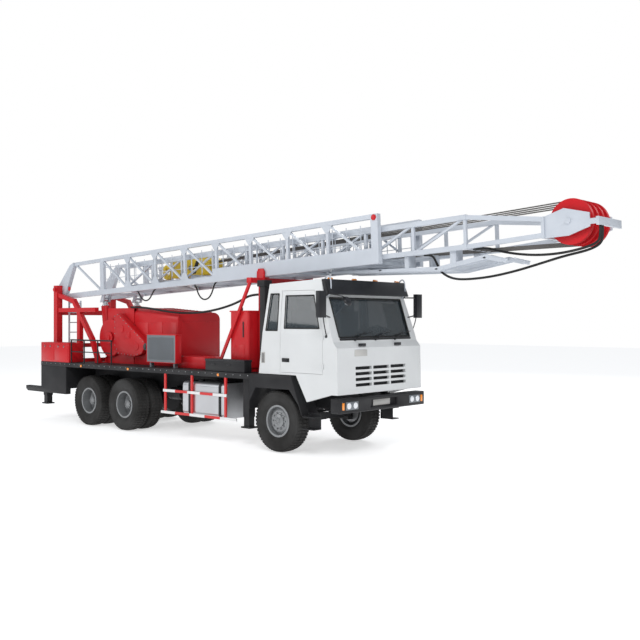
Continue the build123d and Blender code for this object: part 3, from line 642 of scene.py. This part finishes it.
# grille backing and slats in the cab's front wall, and the plates
grilleX = 1.395
grilleHalf = 0.76
slatCount = 16
slatStep = 0.0225
work = bmesh.new()
addBox(work, grilleX, grilleX + 0.007, -grilleHalf, grilleHalf, 1.2, 1.62)
finish("grille_backing", work, trimGrey, bevel=0.001)
work = bmesh.new()
slats = bmesh.new()
addBox(slats, grilleX + 0.009, grilleX + 0.029, 0.01 - grilleHalf, grilleHalf - 0.01, 1.246, 1.252)
slat = bevelled(toMesh(slats, "slat"), 0.001, 1)
addMesh(work, repeated(slat, slatCount, (0, 0, slatStep), plasticBlack))
finish("grille_slats", work, plasticBlack, bevel=0)

work = bmesh.new()
addBox(work, 1.474, 1.481, -0.74, -0.40, 1.755, 1.865)
finish("front_plate", work, plateGrey, bevel=0.002)
work = bmesh.new()
addBox(work, 1.479, 1.487, -0.24, 0.24, 0.872, 0.978)
finish("number_plate", work, plateGrey, bevel=0.002)

# sun visor, roof marker lamps and rails
work = bmesh.new()
profile = [(1.03, 3.045), (1.06, 3.085), (1.15, 3.085), (1.26, 2.83), (1.245, 2.815), (1.215, 2.825),
           (1.12, 3.035), (1.05, 3.025)]
visorHalf = 1.12
outlinePrism(work, profile, "y", -visorHalf, visorHalf)
for side in (-1, 1):
    y0, y1 = sorted((side * (visorHalf - 0.04), side * visorHalf))
    outlinePrism(work, [(1.05, 3.02), (1.14, 3.06), (1.24, 2.83), (1.13, 2.80), (1.06, 2.95)], "y", y0, y1)
for y in (-0.7, 0.0, 0.7):
    addBox(work, 1.06, 1.17, y - 0.015, y + 0.015, 2.93, 3.04)
finish("sun_visor", work, plasticBlack, bevel=0.006)
work = bmesh.new()
for y in (-0.95, -0.3, 0.3, 0.95):
    addRod(work, (1.10, y - 0.05, 3.095), (1.10, y + 0.05, 3.095), 0.022, 14)
finish("roof_lamps", work, lampAmber, bevel=0.004)
work = bmesh.new()
for y in (-1.06, 1.06):
    flowing([(1.14, y, 2.80), (1.20, y, 2.82), (1.22, y, 2.95), (1.21, y, 3.10), (1.14, y, 3.16),
             (1.07, y, 3.08)], 0.012, work)
finish("roof_rails", work, mastWhite, bevel=0)

# door mirrors' faces and stays, and the round mirror that looks down on the bumper
work = bmesh.new()
for side in (-1, 1):
    sideBox(work, 1.2345, 1.241, side, 1.315, 1.455, 2.44, 2.85)
finish("mirror_faces", work, mirrorFace, bevel=0.001)
work = bmesh.new()
for side in (-1, 1):
    flowing([(1.28, side * 1.33, 2.43), (1.275, side * 1.31, 2.33), (1.25, side * 1.23, 2.15),
             (1.23, side * 1.19, 2.10)], 0.009, work)
    addRod(work, (1.23, side * 1.18, 2.10), (1.23, side * 1.205, 2.10), 0.028, 14)
flowing([(1.24, -1.05, 2.82), (1.36, -1.0, 2.80), (1.42, -0.9, 2.76), (1.42, -0.86, 2.72)], 0.009, work)
addRod(work, (1.405, -0.86, 2.70), (1.435, -0.86, 2.72), 0.098, 28, 0.07)
finish("mirror_stays", work, plasticBlack, bevel=0.002)
work = bmesh.new()
addRod(work, (1.400, -0.86, 2.697), (1.4055, -0.86, 2.700), 0.088, 28)
finish("round_mirror_face", work, mirrorFace, bevel=0.001)

# lamps in the bumper and on the cab's corners
work = bmesh.new()
for side in (-1, 1):
    sideBox(work, bumperFrontX - 0.010, bumperFrontX + 0.010, side, 0.735, 1.065, 0.855, 0.995)
finish("headlamp_bowls", work, coolerGrey, bevel=0.008)
work = bmesh.new()
for side in (-1, 1):
    for y in (0.815, 0.985):
        addRod(work, (bumperFrontX + 0.002, side * y, headlampZ), (bumperFrontX + 0.020, side * y, headlampZ),
               0.058, 32, 0.048)
finish("headlamps", work, lampClear, bevel=0.003)
work = bmesh.new()
for side in (-1, 1):
    addRod(work, (1.53, side * 1.125, 0.865), (1.53, side * 1.125, 0.985), 0.036, 16)
    sideBox(work, 1.435, 1.462, side, 1.095, 1.125, 1.49, 1.62)
for x in (-6.21, -4.41, -1.51):
    for side in (-1, 1):
        addRod(work, (x, side * (halfWidth - 0.003), edgeLampZ), (x, side * (halfWidth + 0.014), edgeLampZ),
               0.03, 20, 0.024)
finish("amber_lamps", work, lampAmber, bevel=0.003)
work = bmesh.new()
for side in (-1, 1):
    for y in (0.58, 0.76):
        addRod(work, (deckRearX + 0.002, side * y, rearLampZ), (deckRearX - 0.016, side * y, rearLampZ),
               0.055, 24, 0.046)
finish("rear_lamps", work, lampRed, bevel=0.003)
work = bmesh.new()
for side in (-1, 1):
    sideBox(work, -0.34, -0.25, side, cabHalf - 0.001, cabHalf + 0.006, 1.60, 1.80)
finish("cab_vents", work, plateGrey, bevel=0.002)
louvreCount = 12
louvreStep = 0.0145
work = bmesh.new()
louvre = bmesh.new()
addBox(louvre, -0.33, -0.26, -(cabHalf + 0.009), -(cabHalf + 0.004), 1.615, 1.622)
louvre = toMesh(louvre, "louvre")
louvres = repeated(louvre, louvreCount, (0, 0, louvreStep), trimGrey)
addMesh(work, louvres)
addMesh(work, louvres, flip=True)
finish("cab_louvres", work, trimGrey, bevel=0)
print("cab dressed")

# inside the cab: steering wheel and curtains
work = bmesh.new()
hub = Vector((0.98, 0.62, 2.08))
lean = Matrix.Rotation(radians(62), 4, "Y")
rimSteps = 36
rimRadius = 0.22
for i in range(rimSteps):
    t0, t1 = 2 * pi * i / rimSteps, 2 * pi * (i + 1) / rimSteps
    a = hub + lean @ Vector((rimRadius * cos(t0), rimRadius * sin(t0), 0))
    b = hub + lean @ Vector((rimRadius * cos(t1), rimRadius * sin(t1), 0))
    addRod(work, a, b, 0.014, 8)
for i in range(3):
    t = 2 * pi * i / 3 + 0.5
    addRod(work, hub, hub + lean @ Vector((0.21 * cos(t), 0.21 * sin(t), 0)), 0.011, 8)
addRod(work, hub, hub + lean @ Vector((0, 0, 0.05)), 0.04, 20)
addRod(work, hub, (1.12, 0.62, 1.94), 0.022, 12)
finish("steering_wheel", work, plasticBlack, bevel=0, sharp=60.0)
waveDepth = 0.018
stepsPerWave = 8
work = bmesh.new()
for y0, y1, waves in ((0.55, 0.98, 7), (-0.99, -0.80, 3)):
    spots = []
    steps = waves * stepsPerWave
    for i in range(steps + 1):
        y = y0 + (y1 - y0) * i / steps
        spots.append((y, waveDepth * sin(2 * pi * waves * i / steps)))
    for near, after in zip(spots, spots[1:]):
        corners = [onScreen(h, y, -0.10 + off) for h in (0.10, 0.72) for y, off in (near, after)]
        quad = [work.verts.new(corner) for corner in (corners[0], corners[1], corners[3], corners[2])]
        work.faces.new(quad)
finish("curtains", work, curtainCloth, bevel=0, sharp=80.0)

# Deck: bolts along its edge and small ribs on its top
work = bmesh.new()
boltCount = 37
boltStep = 0.2
bolt = hexNut(0.011, 0.0, 0.009)
faceLeft(bolt)
bolt = bevelled(toMesh(bolt, "bolt"), 0.0015, 1)
for side in (-1, 1):
    row = repeated(bolt, boltCount, (boltStep, 0, 0), boltSteel)
    addMesh(work, row, (deckRearX + 0.06, side * halfWidth, edgeBoltZ), side < 0)
finish("deck_bolts", work, boltSteel, bevel=0)
work = bmesh.new()
rib = bmesh.new()
addBox(rib, 0, 0.012, -1.15, 1.15, 0, 0.003)
rib = toMesh(rib, "rib")
for count, x in ((30, -2.28), (14, -7.85)):
    addMesh(work, repeated(rib, count, (0.05, 0, 0), deckBlack), (x, 0, deckTopZ))
finish("deck_ribs", work, deckBlack, bevel=0)

# Side guards: white bands on the red rails
work = bmesh.new()
bandCount = 5
for side in (-1, 1):
    for z0, starts, last in ((0.925, -3.2, -1.28), (0.485, -3.27, -1.0)):
        step = (last - starts) / bandCount
        for i in range(0, bandCount, 2):
            x0, x1 = starts + i * step, starts + (i + 1) * step
            sideBox(work, x0, x1, side, halfWidth - 0.026, halfWidth + 0.002, z0 - 0.002, z0 + 0.052)
finish("guard_bands", work, stripeWhite, bevel=0.001)

# Fuel tank: dark straps and filler cap
cornerSteps = 6


def roundedRectangle(y0, y1, z0, z1, radius):
    outline = []
    middles = ((y1 - radius, z1 - radius, 0), (y0 + radius, z1 - radius, 1),
               (y0 + radius, z0 + radius, 2), (y1 - radius, z0 + radius, 3))
    for cy, cz, quarter in middles:
        for i in range(cornerSteps + 1):
            t = (quarter + i / cornerSteps) * pi / 2
            outline.append((cy + radius * cos(t), cz + radius * sin(t)))
    return outline


work = bmesh.new()
for x in (-2.4, -1.5):
    outlinePrism(work, roundedRectangle(-1.189, -0.551, 0.491, 1.179, 0.09), "x", x - 0.034, x + 0.034)
addRod(work, (-2.21, -1.03, 1.165), (-2.21, -1.03, 1.205), 0.062, 28)
finish("tank_straps", work, frameBlack, bevel=0.003)

# Air reservoirs hung on the right frame rail, and a ladder inside the mast base
airY, airZ = -0.60, 0.83
work = bmesh.new()
for x0, x1 in ((-3.72, -3.30), (-3.22, -2.80)):
    addRod(work, (x0, airY, airZ), (x1, airY, airZ), 0.125, 40)
    for x in (x0 + 0.09, x1 - 0.09):
        addRod(work, (x - 0.015, airY, airZ), (x + 0.015, airY, airZ), 0.13, 40)
        addBox(work, x - 0.02, x + 0.02, -0.53, -0.43, 0.86, 0.98)
finish("air_tanks", work, frameBlack, bevel=0.012)
ladderX = -7.835
ladderRight, ladderLeft = -0.52, -0.20
work = bmesh.new()
for y in (ladderRight, ladderLeft):
    addBox(work, ladderX - 0.025, ladderX + 0.025, y - 0.012, y + 0.012, deckTopZ, 2.86)
    addBox(work, -7.872, ladderX - 0.02, y - 0.012, y + 0.012, 2.54, 2.58)
step = bmesh.new()
addRod(step, (0, ladderRight, 0), (0, ladderLeft, 0), 0.012, 10)
step = toMesh(step, "ladder step")
addMesh(work, repeated(step, 6, (0, 0, 0.24), mastWhite), (ladderX, 0, 1.60))
finish("base_ladder", work, mastWhite, bevel=0.002)
print("deck and tank dressed")

# Rear boxes: doors and latches
work = bmesh.new()
for side in (-1, 1):
    for x0, x1 in ((-7.90, -7.36), (-7.32, -6.77)):
        sideBox(work, x0, x1, side, halfWidth - 0.001, halfWidth + 0.006, 1.43, 1.81)
finish("box_doors", work, rigRed, bevel=0.004)
work = bmesh.new()
for side in (-1, 1):
    for x in (-7.74, -7.50, -7.16, -6.92):
        addRod(work, (x, side * (halfWidth + 0.004), 1.76), (x, side * (halfWidth + 0.016), 1.76),
               0.018, 16)
        sideBox(work, x - 0.006, x + 0.006, side, halfWidth + 0.014, halfWidth + 0.022, 1.735, 1.785)
finish("box_latches", work, boltSteel, bevel=0.0015)

# Hood: door panels, ribs on its sloped top and latches
work = bmesh.new()
for side in (-1, 1):
    for x0, x1 in ((-5.0, -4.54), (-4.50, -4.04), (-4.00, -3.55)):
        sideBox(work, x0, x1, side, hoodHalf - 0.001, hoodHalf + 0.007, 1.46, 2.33)
addBox(work, -3.511, -3.503, -0.5, 0.5, 1.50, 2.34)
finish("hood_doors", work, rigRed, bevel=0.004)
work = bmesh.new()
ribBase = bmesh.new()
for side in (-1, 1):
    sideBox(ribBase, 0, 0.03, side, 0.15, 0.44, 0, 0.012)
ribBase = bevelled(toMesh(ribBase, "hood rib"), 0.004, 2)
ribStep = 0.12
hoodSlope = 0.0747
ribs = repeated(ribBase, 12, (ribStep, 0, -ribStep * hoodSlope), rigRed)
addMesh(work, ribs, (-4.95, 0, 2.643))
finish("hood_ribs", work, rigRed, bevel=0)
work = bmesh.new()
for side in (-1, 1):
    for x in (-4.58, -4.46, -3.96):
        sideBox(work, x - 0.012, x + 0.012, side, hoodHalf + 0.006, hoodHalf + 0.022, 1.90, 2.0)
finish("hood_latches", work, boltSteel, bevel=0.002)

# Cooler: fine fins, frame lips and pipes
work = bmesh.new()
fin = bmesh.new()
zigzag = [(0.0, 0.0), (0.006, 0.0), (0.010, 0.02), (0.006, 0.04), (0.0, 0.04), (0.004, 0.02)]
outlinePrism(fin, zigzag, "z", 1.555, 2.015)
fin = toMesh(fin, "fin")
finCount = 78
finStep = 0.0108
addMesh(work, repeated(fin, finCount, (finStep, 0, 0), coolerGrey), (-3.905, -1.066, 0))
finish("cooler_fins", work, coolerGrey, bevel=0)
work = bmesh.new()
coolerOuter, coolerInner = -1.068, -0.912
addBox(work, -3.98, -2.98, coolerOuter, coolerInner, 2.065, 2.085)
addBox(work, -3.98, -2.98, coolerOuter, coolerInner, 1.49, 1.505)
for x in (-3.97, -3.005):
    addBox(work, x, x + 0.015, coolerOuter, coolerInner, 1.5, 2.07)
finish("cooler_frame", work, rigRed, bevel=0.003)
work = bmesh.new()
flowing([(-3.85, -0.92, 1.95), (-3.85, -0.80, 1.95), (-3.85, -0.72, 1.90), (-3.85, -0.70, 1.70),
         (-3.85, -0.68, 1.60), (-3.85, -0.59, 1.60)], 0.03, work)
flowing([(-3.12, -0.92, 1.62), (-3.12, -0.82, 1.62), (-3.12, -0.74, 1.60), (-3.2, -0.68, 1.56),
         (-3.4, -0.62, 1.55), (-3.6, -0.595, 1.55)], 0.03, work)
finish("cooler_pipes", work, rubberBlack, bevel=0, sharp=60.0)

# Drawworks: bolts and covers of the chain case, rope on the drum, and the end of a shaft
faceY = -0.76
work = bmesh.new()
caseOutline = [(-5.555, 2.465), (-5.44, 2.50), (-4.50, 1.915), (-4.468, 1.80), (-4.575, 1.66),
               (-4.815, 1.597), (-5.42, 1.635), (-5.555, 1.815)]
boltSpacing = 0.13
for (x0, z0), (x1, z1) in zip(caseOutline, caseOutline[1:] + caseOutline[:1]):
    count = max(1, round(sqrt((x1 - x0) ** 2 + (z1 - z0) ** 2) / boltSpacing))
    step = ((x1 - x0) / count, 0, (z1 - z0) / count)
    addMesh(work, repeated(bolt, count, step, boltSteel), (x0, faceY, z0), True)
finish("case_bolts", work, boltSteel, bevel=0)
work = bmesh.new()
addRod(work, (-5.86, -0.705, 1.97), (-5.86, -0.722, 1.97), 0.14, 32)
addRod(work, (-5.86, -0.72, 1.97), (-5.86, -0.745, 1.97), 0.06, 24)
for x, z in ((-5.30, 2.18), (-4.74, 1.80)):
    addRod(work, (x, faceY + 0.001, z), (x, faceY - 0.012, z), 0.085, 28)
addBox(work, -5.16, -4.98, faceY - 0.012, faceY + 0.001, 1.98, 2.12)
finish("case_covers", work, rigRed, bevel=0.003)
work = bmesh.new()
drumHalf = 0.53
drumRadius = 0.221
ropeTurns = 36
pitch = 2 * drumHalf / ropeTurns
profile = [(drumRadius, -drumHalf)]
for i in range(ropeTurns):
    for share, rise in ((0.15, 0.010), (0.35, 0.020), (0.65, 0.020), (0.85, 0.010), (1.0, 0.0)):
        profile.append((drumRadius + 0.011 + rise, -drumHalf + pitch * (i + share)))
profile.append((drumRadius, drumHalf))
addLathe(work, profile, (-5.6, 0, 1.95), 48)
finish("drum_rope", work, ropeSteel, bevel=0, sharp=60.0)
work = bmesh.new()
addRod(work, (-4.40, -0.699, 1.80), (-4.40, -0.78, 1.80), 0.075, 28)
addRod(work, (-4.40, -0.77, 1.80), (-4.40, -0.80, 1.80), 0.04, 20)
finish("case_shaft", work, engineCast, bevel=0.004)
print("drawworks dressed")

# Hydraulic tank: lid, panel, filler and gauge, and the battery box's lid and latches
work = bmesh.new()
addBox(work, -1.508, -0.972, -0.93, -0.24, 2.535, 2.560)
addBox(work, -1.36, -1.09, -0.926, -0.919, 1.60, 1.90)
finish("tank_lid", work, rigRed, bevel=0.004)
work = bmesh.new()
addRod(work, (-1.35, -0.78, 2.555), (-1.35, -0.78, 2.62), 0.045, 20)
addBox(work, -1.14, -1.11, -0.93, -0.919, 2.05, 2.35)
finish("tank_fittings", work, plasticBlack, bevel=0.003)
work = bmesh.new()
addBox(work, -1.925, -0.805, -1.198, -0.992, 1.595, 1.632)
for x in (-1.68, -1.24):
    addBox(work, x - 0.05, x + 0.05, -1.204, -1.196, 1.52, 1.545)
finish("battery_lid", work, plasticBlack, bevel=0.004)

# Lower mast: thin bars and rails along its sides, gussets, small plates and pin caps
work = bmesh.new()
rung = bmesh.new()
addRod(rung, (0, 0, 0.0), (0, 0, 0.46), 0.008, 8)
rung = toMesh(rung, "rung")
railRear, railFront = 1.75, 9.72
for y in (-0.583, 0.583):
    addMesh(work, repeated(rung, 24, (0.325, 0, 0), mastWhite), (1.95, y, 0.0))
    addRod(work, (railRear, y, 0.40), (railFront, y, 0.40), 0.009, 8)
    addRod(work, (railRear, y, 0.13), (railFront, y, 0.13), 0.007, 8)
finish("mast_rungs", work, mastWhite, "mast_lower", 0, lying=True)
work = bmesh.new()
gusset = bmesh.new()
outlinePrism(gusset, [(-0.14, 0.0), (0.14, 0.0), (0.05, 0.15), (-0.05, 0.15)], "y", -0.004, 0.004)
gusset = bevelled(toMesh(gusset, "gusset"), 0.002, 1)
upper = bmesh.new()
outlinePrism(upper, [(-0.13, 0.0), (0.13, 0.0), (0.04, -0.13), (-0.04, -0.13)], "y", -0.004, 0.004)
upper = bevelled(toMesh(upper, "upper gusset"), 0.002, 1)
lowerFaceN, upperFaceN = -0.115, 0.545
for y in (-0.642, 0.642):
    for plate, n in ((gusset, lowerFaceN), (upper, upperFaceN)):
        addMesh(work, repeated(plate, lowerBays - 1, (latticeStep, 0, 0), mastWhite),
                (firstPostA + latticeStep, y, n))
    for a in (5.9, 7.28, 8.65):
        addBox(work, a, a + 0.012, y - 0.004, y + 0.004, -0.16, 0.01)
finish("mast_gussets", work, mastWhite, "mast_lower", 0, lying=True)
work = bmesh.new()
for side in (-1, 1):
    for a, y0, y1 in ((0.0, 0.868, 0.89), (0.38, 0.688, 0.705)):
        addRod(work, (a, side * y0, 0.0), (a, side * y1, 0.0), 0.05, 24)
    addRod(work, (9.775, side * 0.648, 0.56), (9.775, side * 0.665, 0.56), 0.05, 20)
finish("mast_pins", work, rigRed, "mast_lower", 0.003, lying=True)

# Upper mast: ropes to the block, thin bars along its sides, and the working platform under its front
work = bmesh.new()
ropeEndA = 4.97
ropeRadius = 0.011
ropeRing = sheaveRadius - 0.03
for y in sheavePlaces:
    addRod(work, (crownAxisA, y, crownAxisN + ropeRing), (ropeEndA, 0.35 * y, 0.27), ropeRadius, 8)
    addRod(work, (crownAxisA, y, crownAxisN - ropeRing), (ropeEndA, 0.35 * y, 0.10), ropeRadius, 8)
finish("block_ropes", work, ropeSteel, "mast_upper", 0, lying=True)
work = bmesh.new()
rung = bmesh.new()
addRod(rung, (0, 0, -0.075), (0, 0, 0.325), 0.008, 8)
rung = toMesh(rung, "upper rung")
for y in (-0.46, 0.46):
    addMesh(work, repeated(rung, 22, (0.335, 0, 0), mastWhite), (2.7, y, 0.0))
finish("upper_rungs", work, mastWhite, "mast_upper", 0, lying=True)
work = bmesh.new()
platformSide = [(8.50, -0.255), (8.50, -0.295), (10.90, -0.44), (11.80, -0.33), (12.05, -0.40),
                (12.08, -0.34), (11.85, -0.27), (11.80, -0.255), (10.90, -0.37)]
for y in (-0.46, -0.28, 0.26, 0.44):
    outlinePrism(work, platformSide, "y", y, y + 0.02)
for side in (-1, 1):
    for a0, a1, top in ((11.15, 11.26, -0.09), (10.25, 10.33, -0.125)):
        sideBox(work, a0, a1, side, 0.255, 0.465, -0.35, top)
for a, n in ((8.56, -0.29), (9.70, -0.35), (10.85, -0.42), (11.75, -0.32)):
    addBox(work, a, a + 0.05, -0.46, 0.46, n, n + 0.03)
finish("mast_platform", work, mastWhite, "mast_upper", 0.003, lying=True)
work = bmesh.new()
grate = bmesh.new()
addBox(grate, 0, 0.012, -0.44, 0.44, -0.012, 0.012)
grate = toMesh(grate, "grate")
grateStep = 0.05
rearSlope, frontSlope = -0.0565, 0.125
rearSteps = repeated(grate, 46, (grateStep, 0, grateStep * rearSlope), mastWhite)
frontSteps = repeated(grate, 16, (grateStep, 0, grateStep * frontSlope), mastWhite)
addMesh(work, rearSteps, (8.56, 0, -0.275))
addMesh(work, frontSteps, (10.95, 0, -0.40))
finish("platform_grating", work, mastWhite, "mast_upper", 0, lying=True)
print("mast dressed")

# Hook block: dark stripes on its sides, and its pin
work = bmesh.new()
for side in (-1, 1):
    for a in (3.98, 4.40):
        y0, y1 = sorted((side * 0.189, side * 0.193))
        outlinePrism(work, [(a, 0.05), (a + 0.12, 0.05), (a + 0.26, 0.32), (a + 0.14, 0.32)], "y", y0, y1)
finish("block_stripes", work, plasticBlack, "mast_upper", 0.001, lying=True)
work = bmesh.new()
for y in (-0.2, 0.2):
    addRod(work, (4.35, y, 0.185), (4.35, y * 0.94, 0.185), 0.06, 24)
addRod(work, (4.35, -0.2, 0.185), (4.35, 0.2, 0.185), 0.035, 20)
finish("block_pin", work, boltSteel, "mast_upper", 0.003, lying=True)

# Crown: raised rings on the sheaves
work = bmesh.new()
centre = (crownAxisA, 0, crownAxisN)
for y in sheavePlaces:
    for side in (-1, 1):
        foot, top = y + side * 0.0295, y + side * 0.0325
        addLathe(work, [(0.20, foot), (0.235, top), (0.27, foot)], centre, 48)
finish("sheave_rims", work, rigRed, "crown_sheaves", 0, lying=True)
print("crown dressed")

# Light, floor and background
world = bpy.data.worlds.new("studio")
bpy.context.scene.world = world
world.use_nodes = True
sky = world.node_tree
background = sky.nodes["Background"]
background.inputs["Color"].default_value = (0.90, 0.93, 0.97, 1.0)
background.inputs["Strength"].default_value = 0.46
white = sky.nodes.new("ShaderNodeBackground")
white.inputs["Color"].default_value = (1.0, 1.0, 1.0, 1.0)
white.inputs["Strength"].default_value = 1.0
path = sky.nodes.new("ShaderNodeLightPath")
blend = sky.nodes.new("ShaderNodeMixShader")
sky.links.new(path.outputs["Is Camera Ray"], blend.inputs["Fac"])
sky.links.new(background.outputs["Background"], blend.inputs[1])
sky.links.new(white.outputs["Background"], blend.inputs[2])
sky.links.new(blend.outputs["Shader"], sky.nodes["World Output"].inputs["Surface"])


def areaLight(name, spot, target, size, power):
    light = bpy.data.lights.new(name, "AREA")
    light.shape = "SQUARE"
    light.size = size
    light.energy = power
    holder = bpy.data.objects.new(name, light)
    holder.location = spot
    holder.rotation_euler = (Vector(target) - Vector(spot)).to_track_quat("-Z", "Y").to_euler()
    collection.objects.link(holder)


areaLight("key", (14.0, -14.0, 15.0), (0.0, 0.0, 1.5), 7.0, 1750.0)
areaLight("fill", (-12.0, -16.0, 9.0), (-2.0, 0.0, 1.5), 9.0, 650.0)
areaLight("rim", (-4.0, 15.0, 13.0), (0.0, 0.0, 2.0), 8.0, 900.0)

floorHalf = 60
floorZ = -0.002
floorMesh = bpy.data.meshes.new("floor")
floorCorners = [(x * floorHalf, y * floorHalf, floorZ) for x, y in ((-1, -1), (1, -1), (1, 1), (-1, 1))]
floorMesh.from_pydata(floorCorners, [], [(0, 1, 2, 3)])
floor = bpy.data.objects.new("floor", floorMesh)
collection.objects.link(floor)
floorMaterial, floorShader = newMaterial("floor pale")
floorShader.inputs["Base Color"].default_value = (0.90, 0.90, 0.90, 1.0)
floorShader.inputs["Roughness"].default_value = 0.95
floorShader.inputs["Emission Color"].default_value = (1.0, 1.0, 1.0, 1.0)
floorShader.inputs["Emission Strength"].default_value = 0.55
floorMesh.materials.append(floorMaterial)

bpy.context.scene.view_settings.view_transform = "Standard"
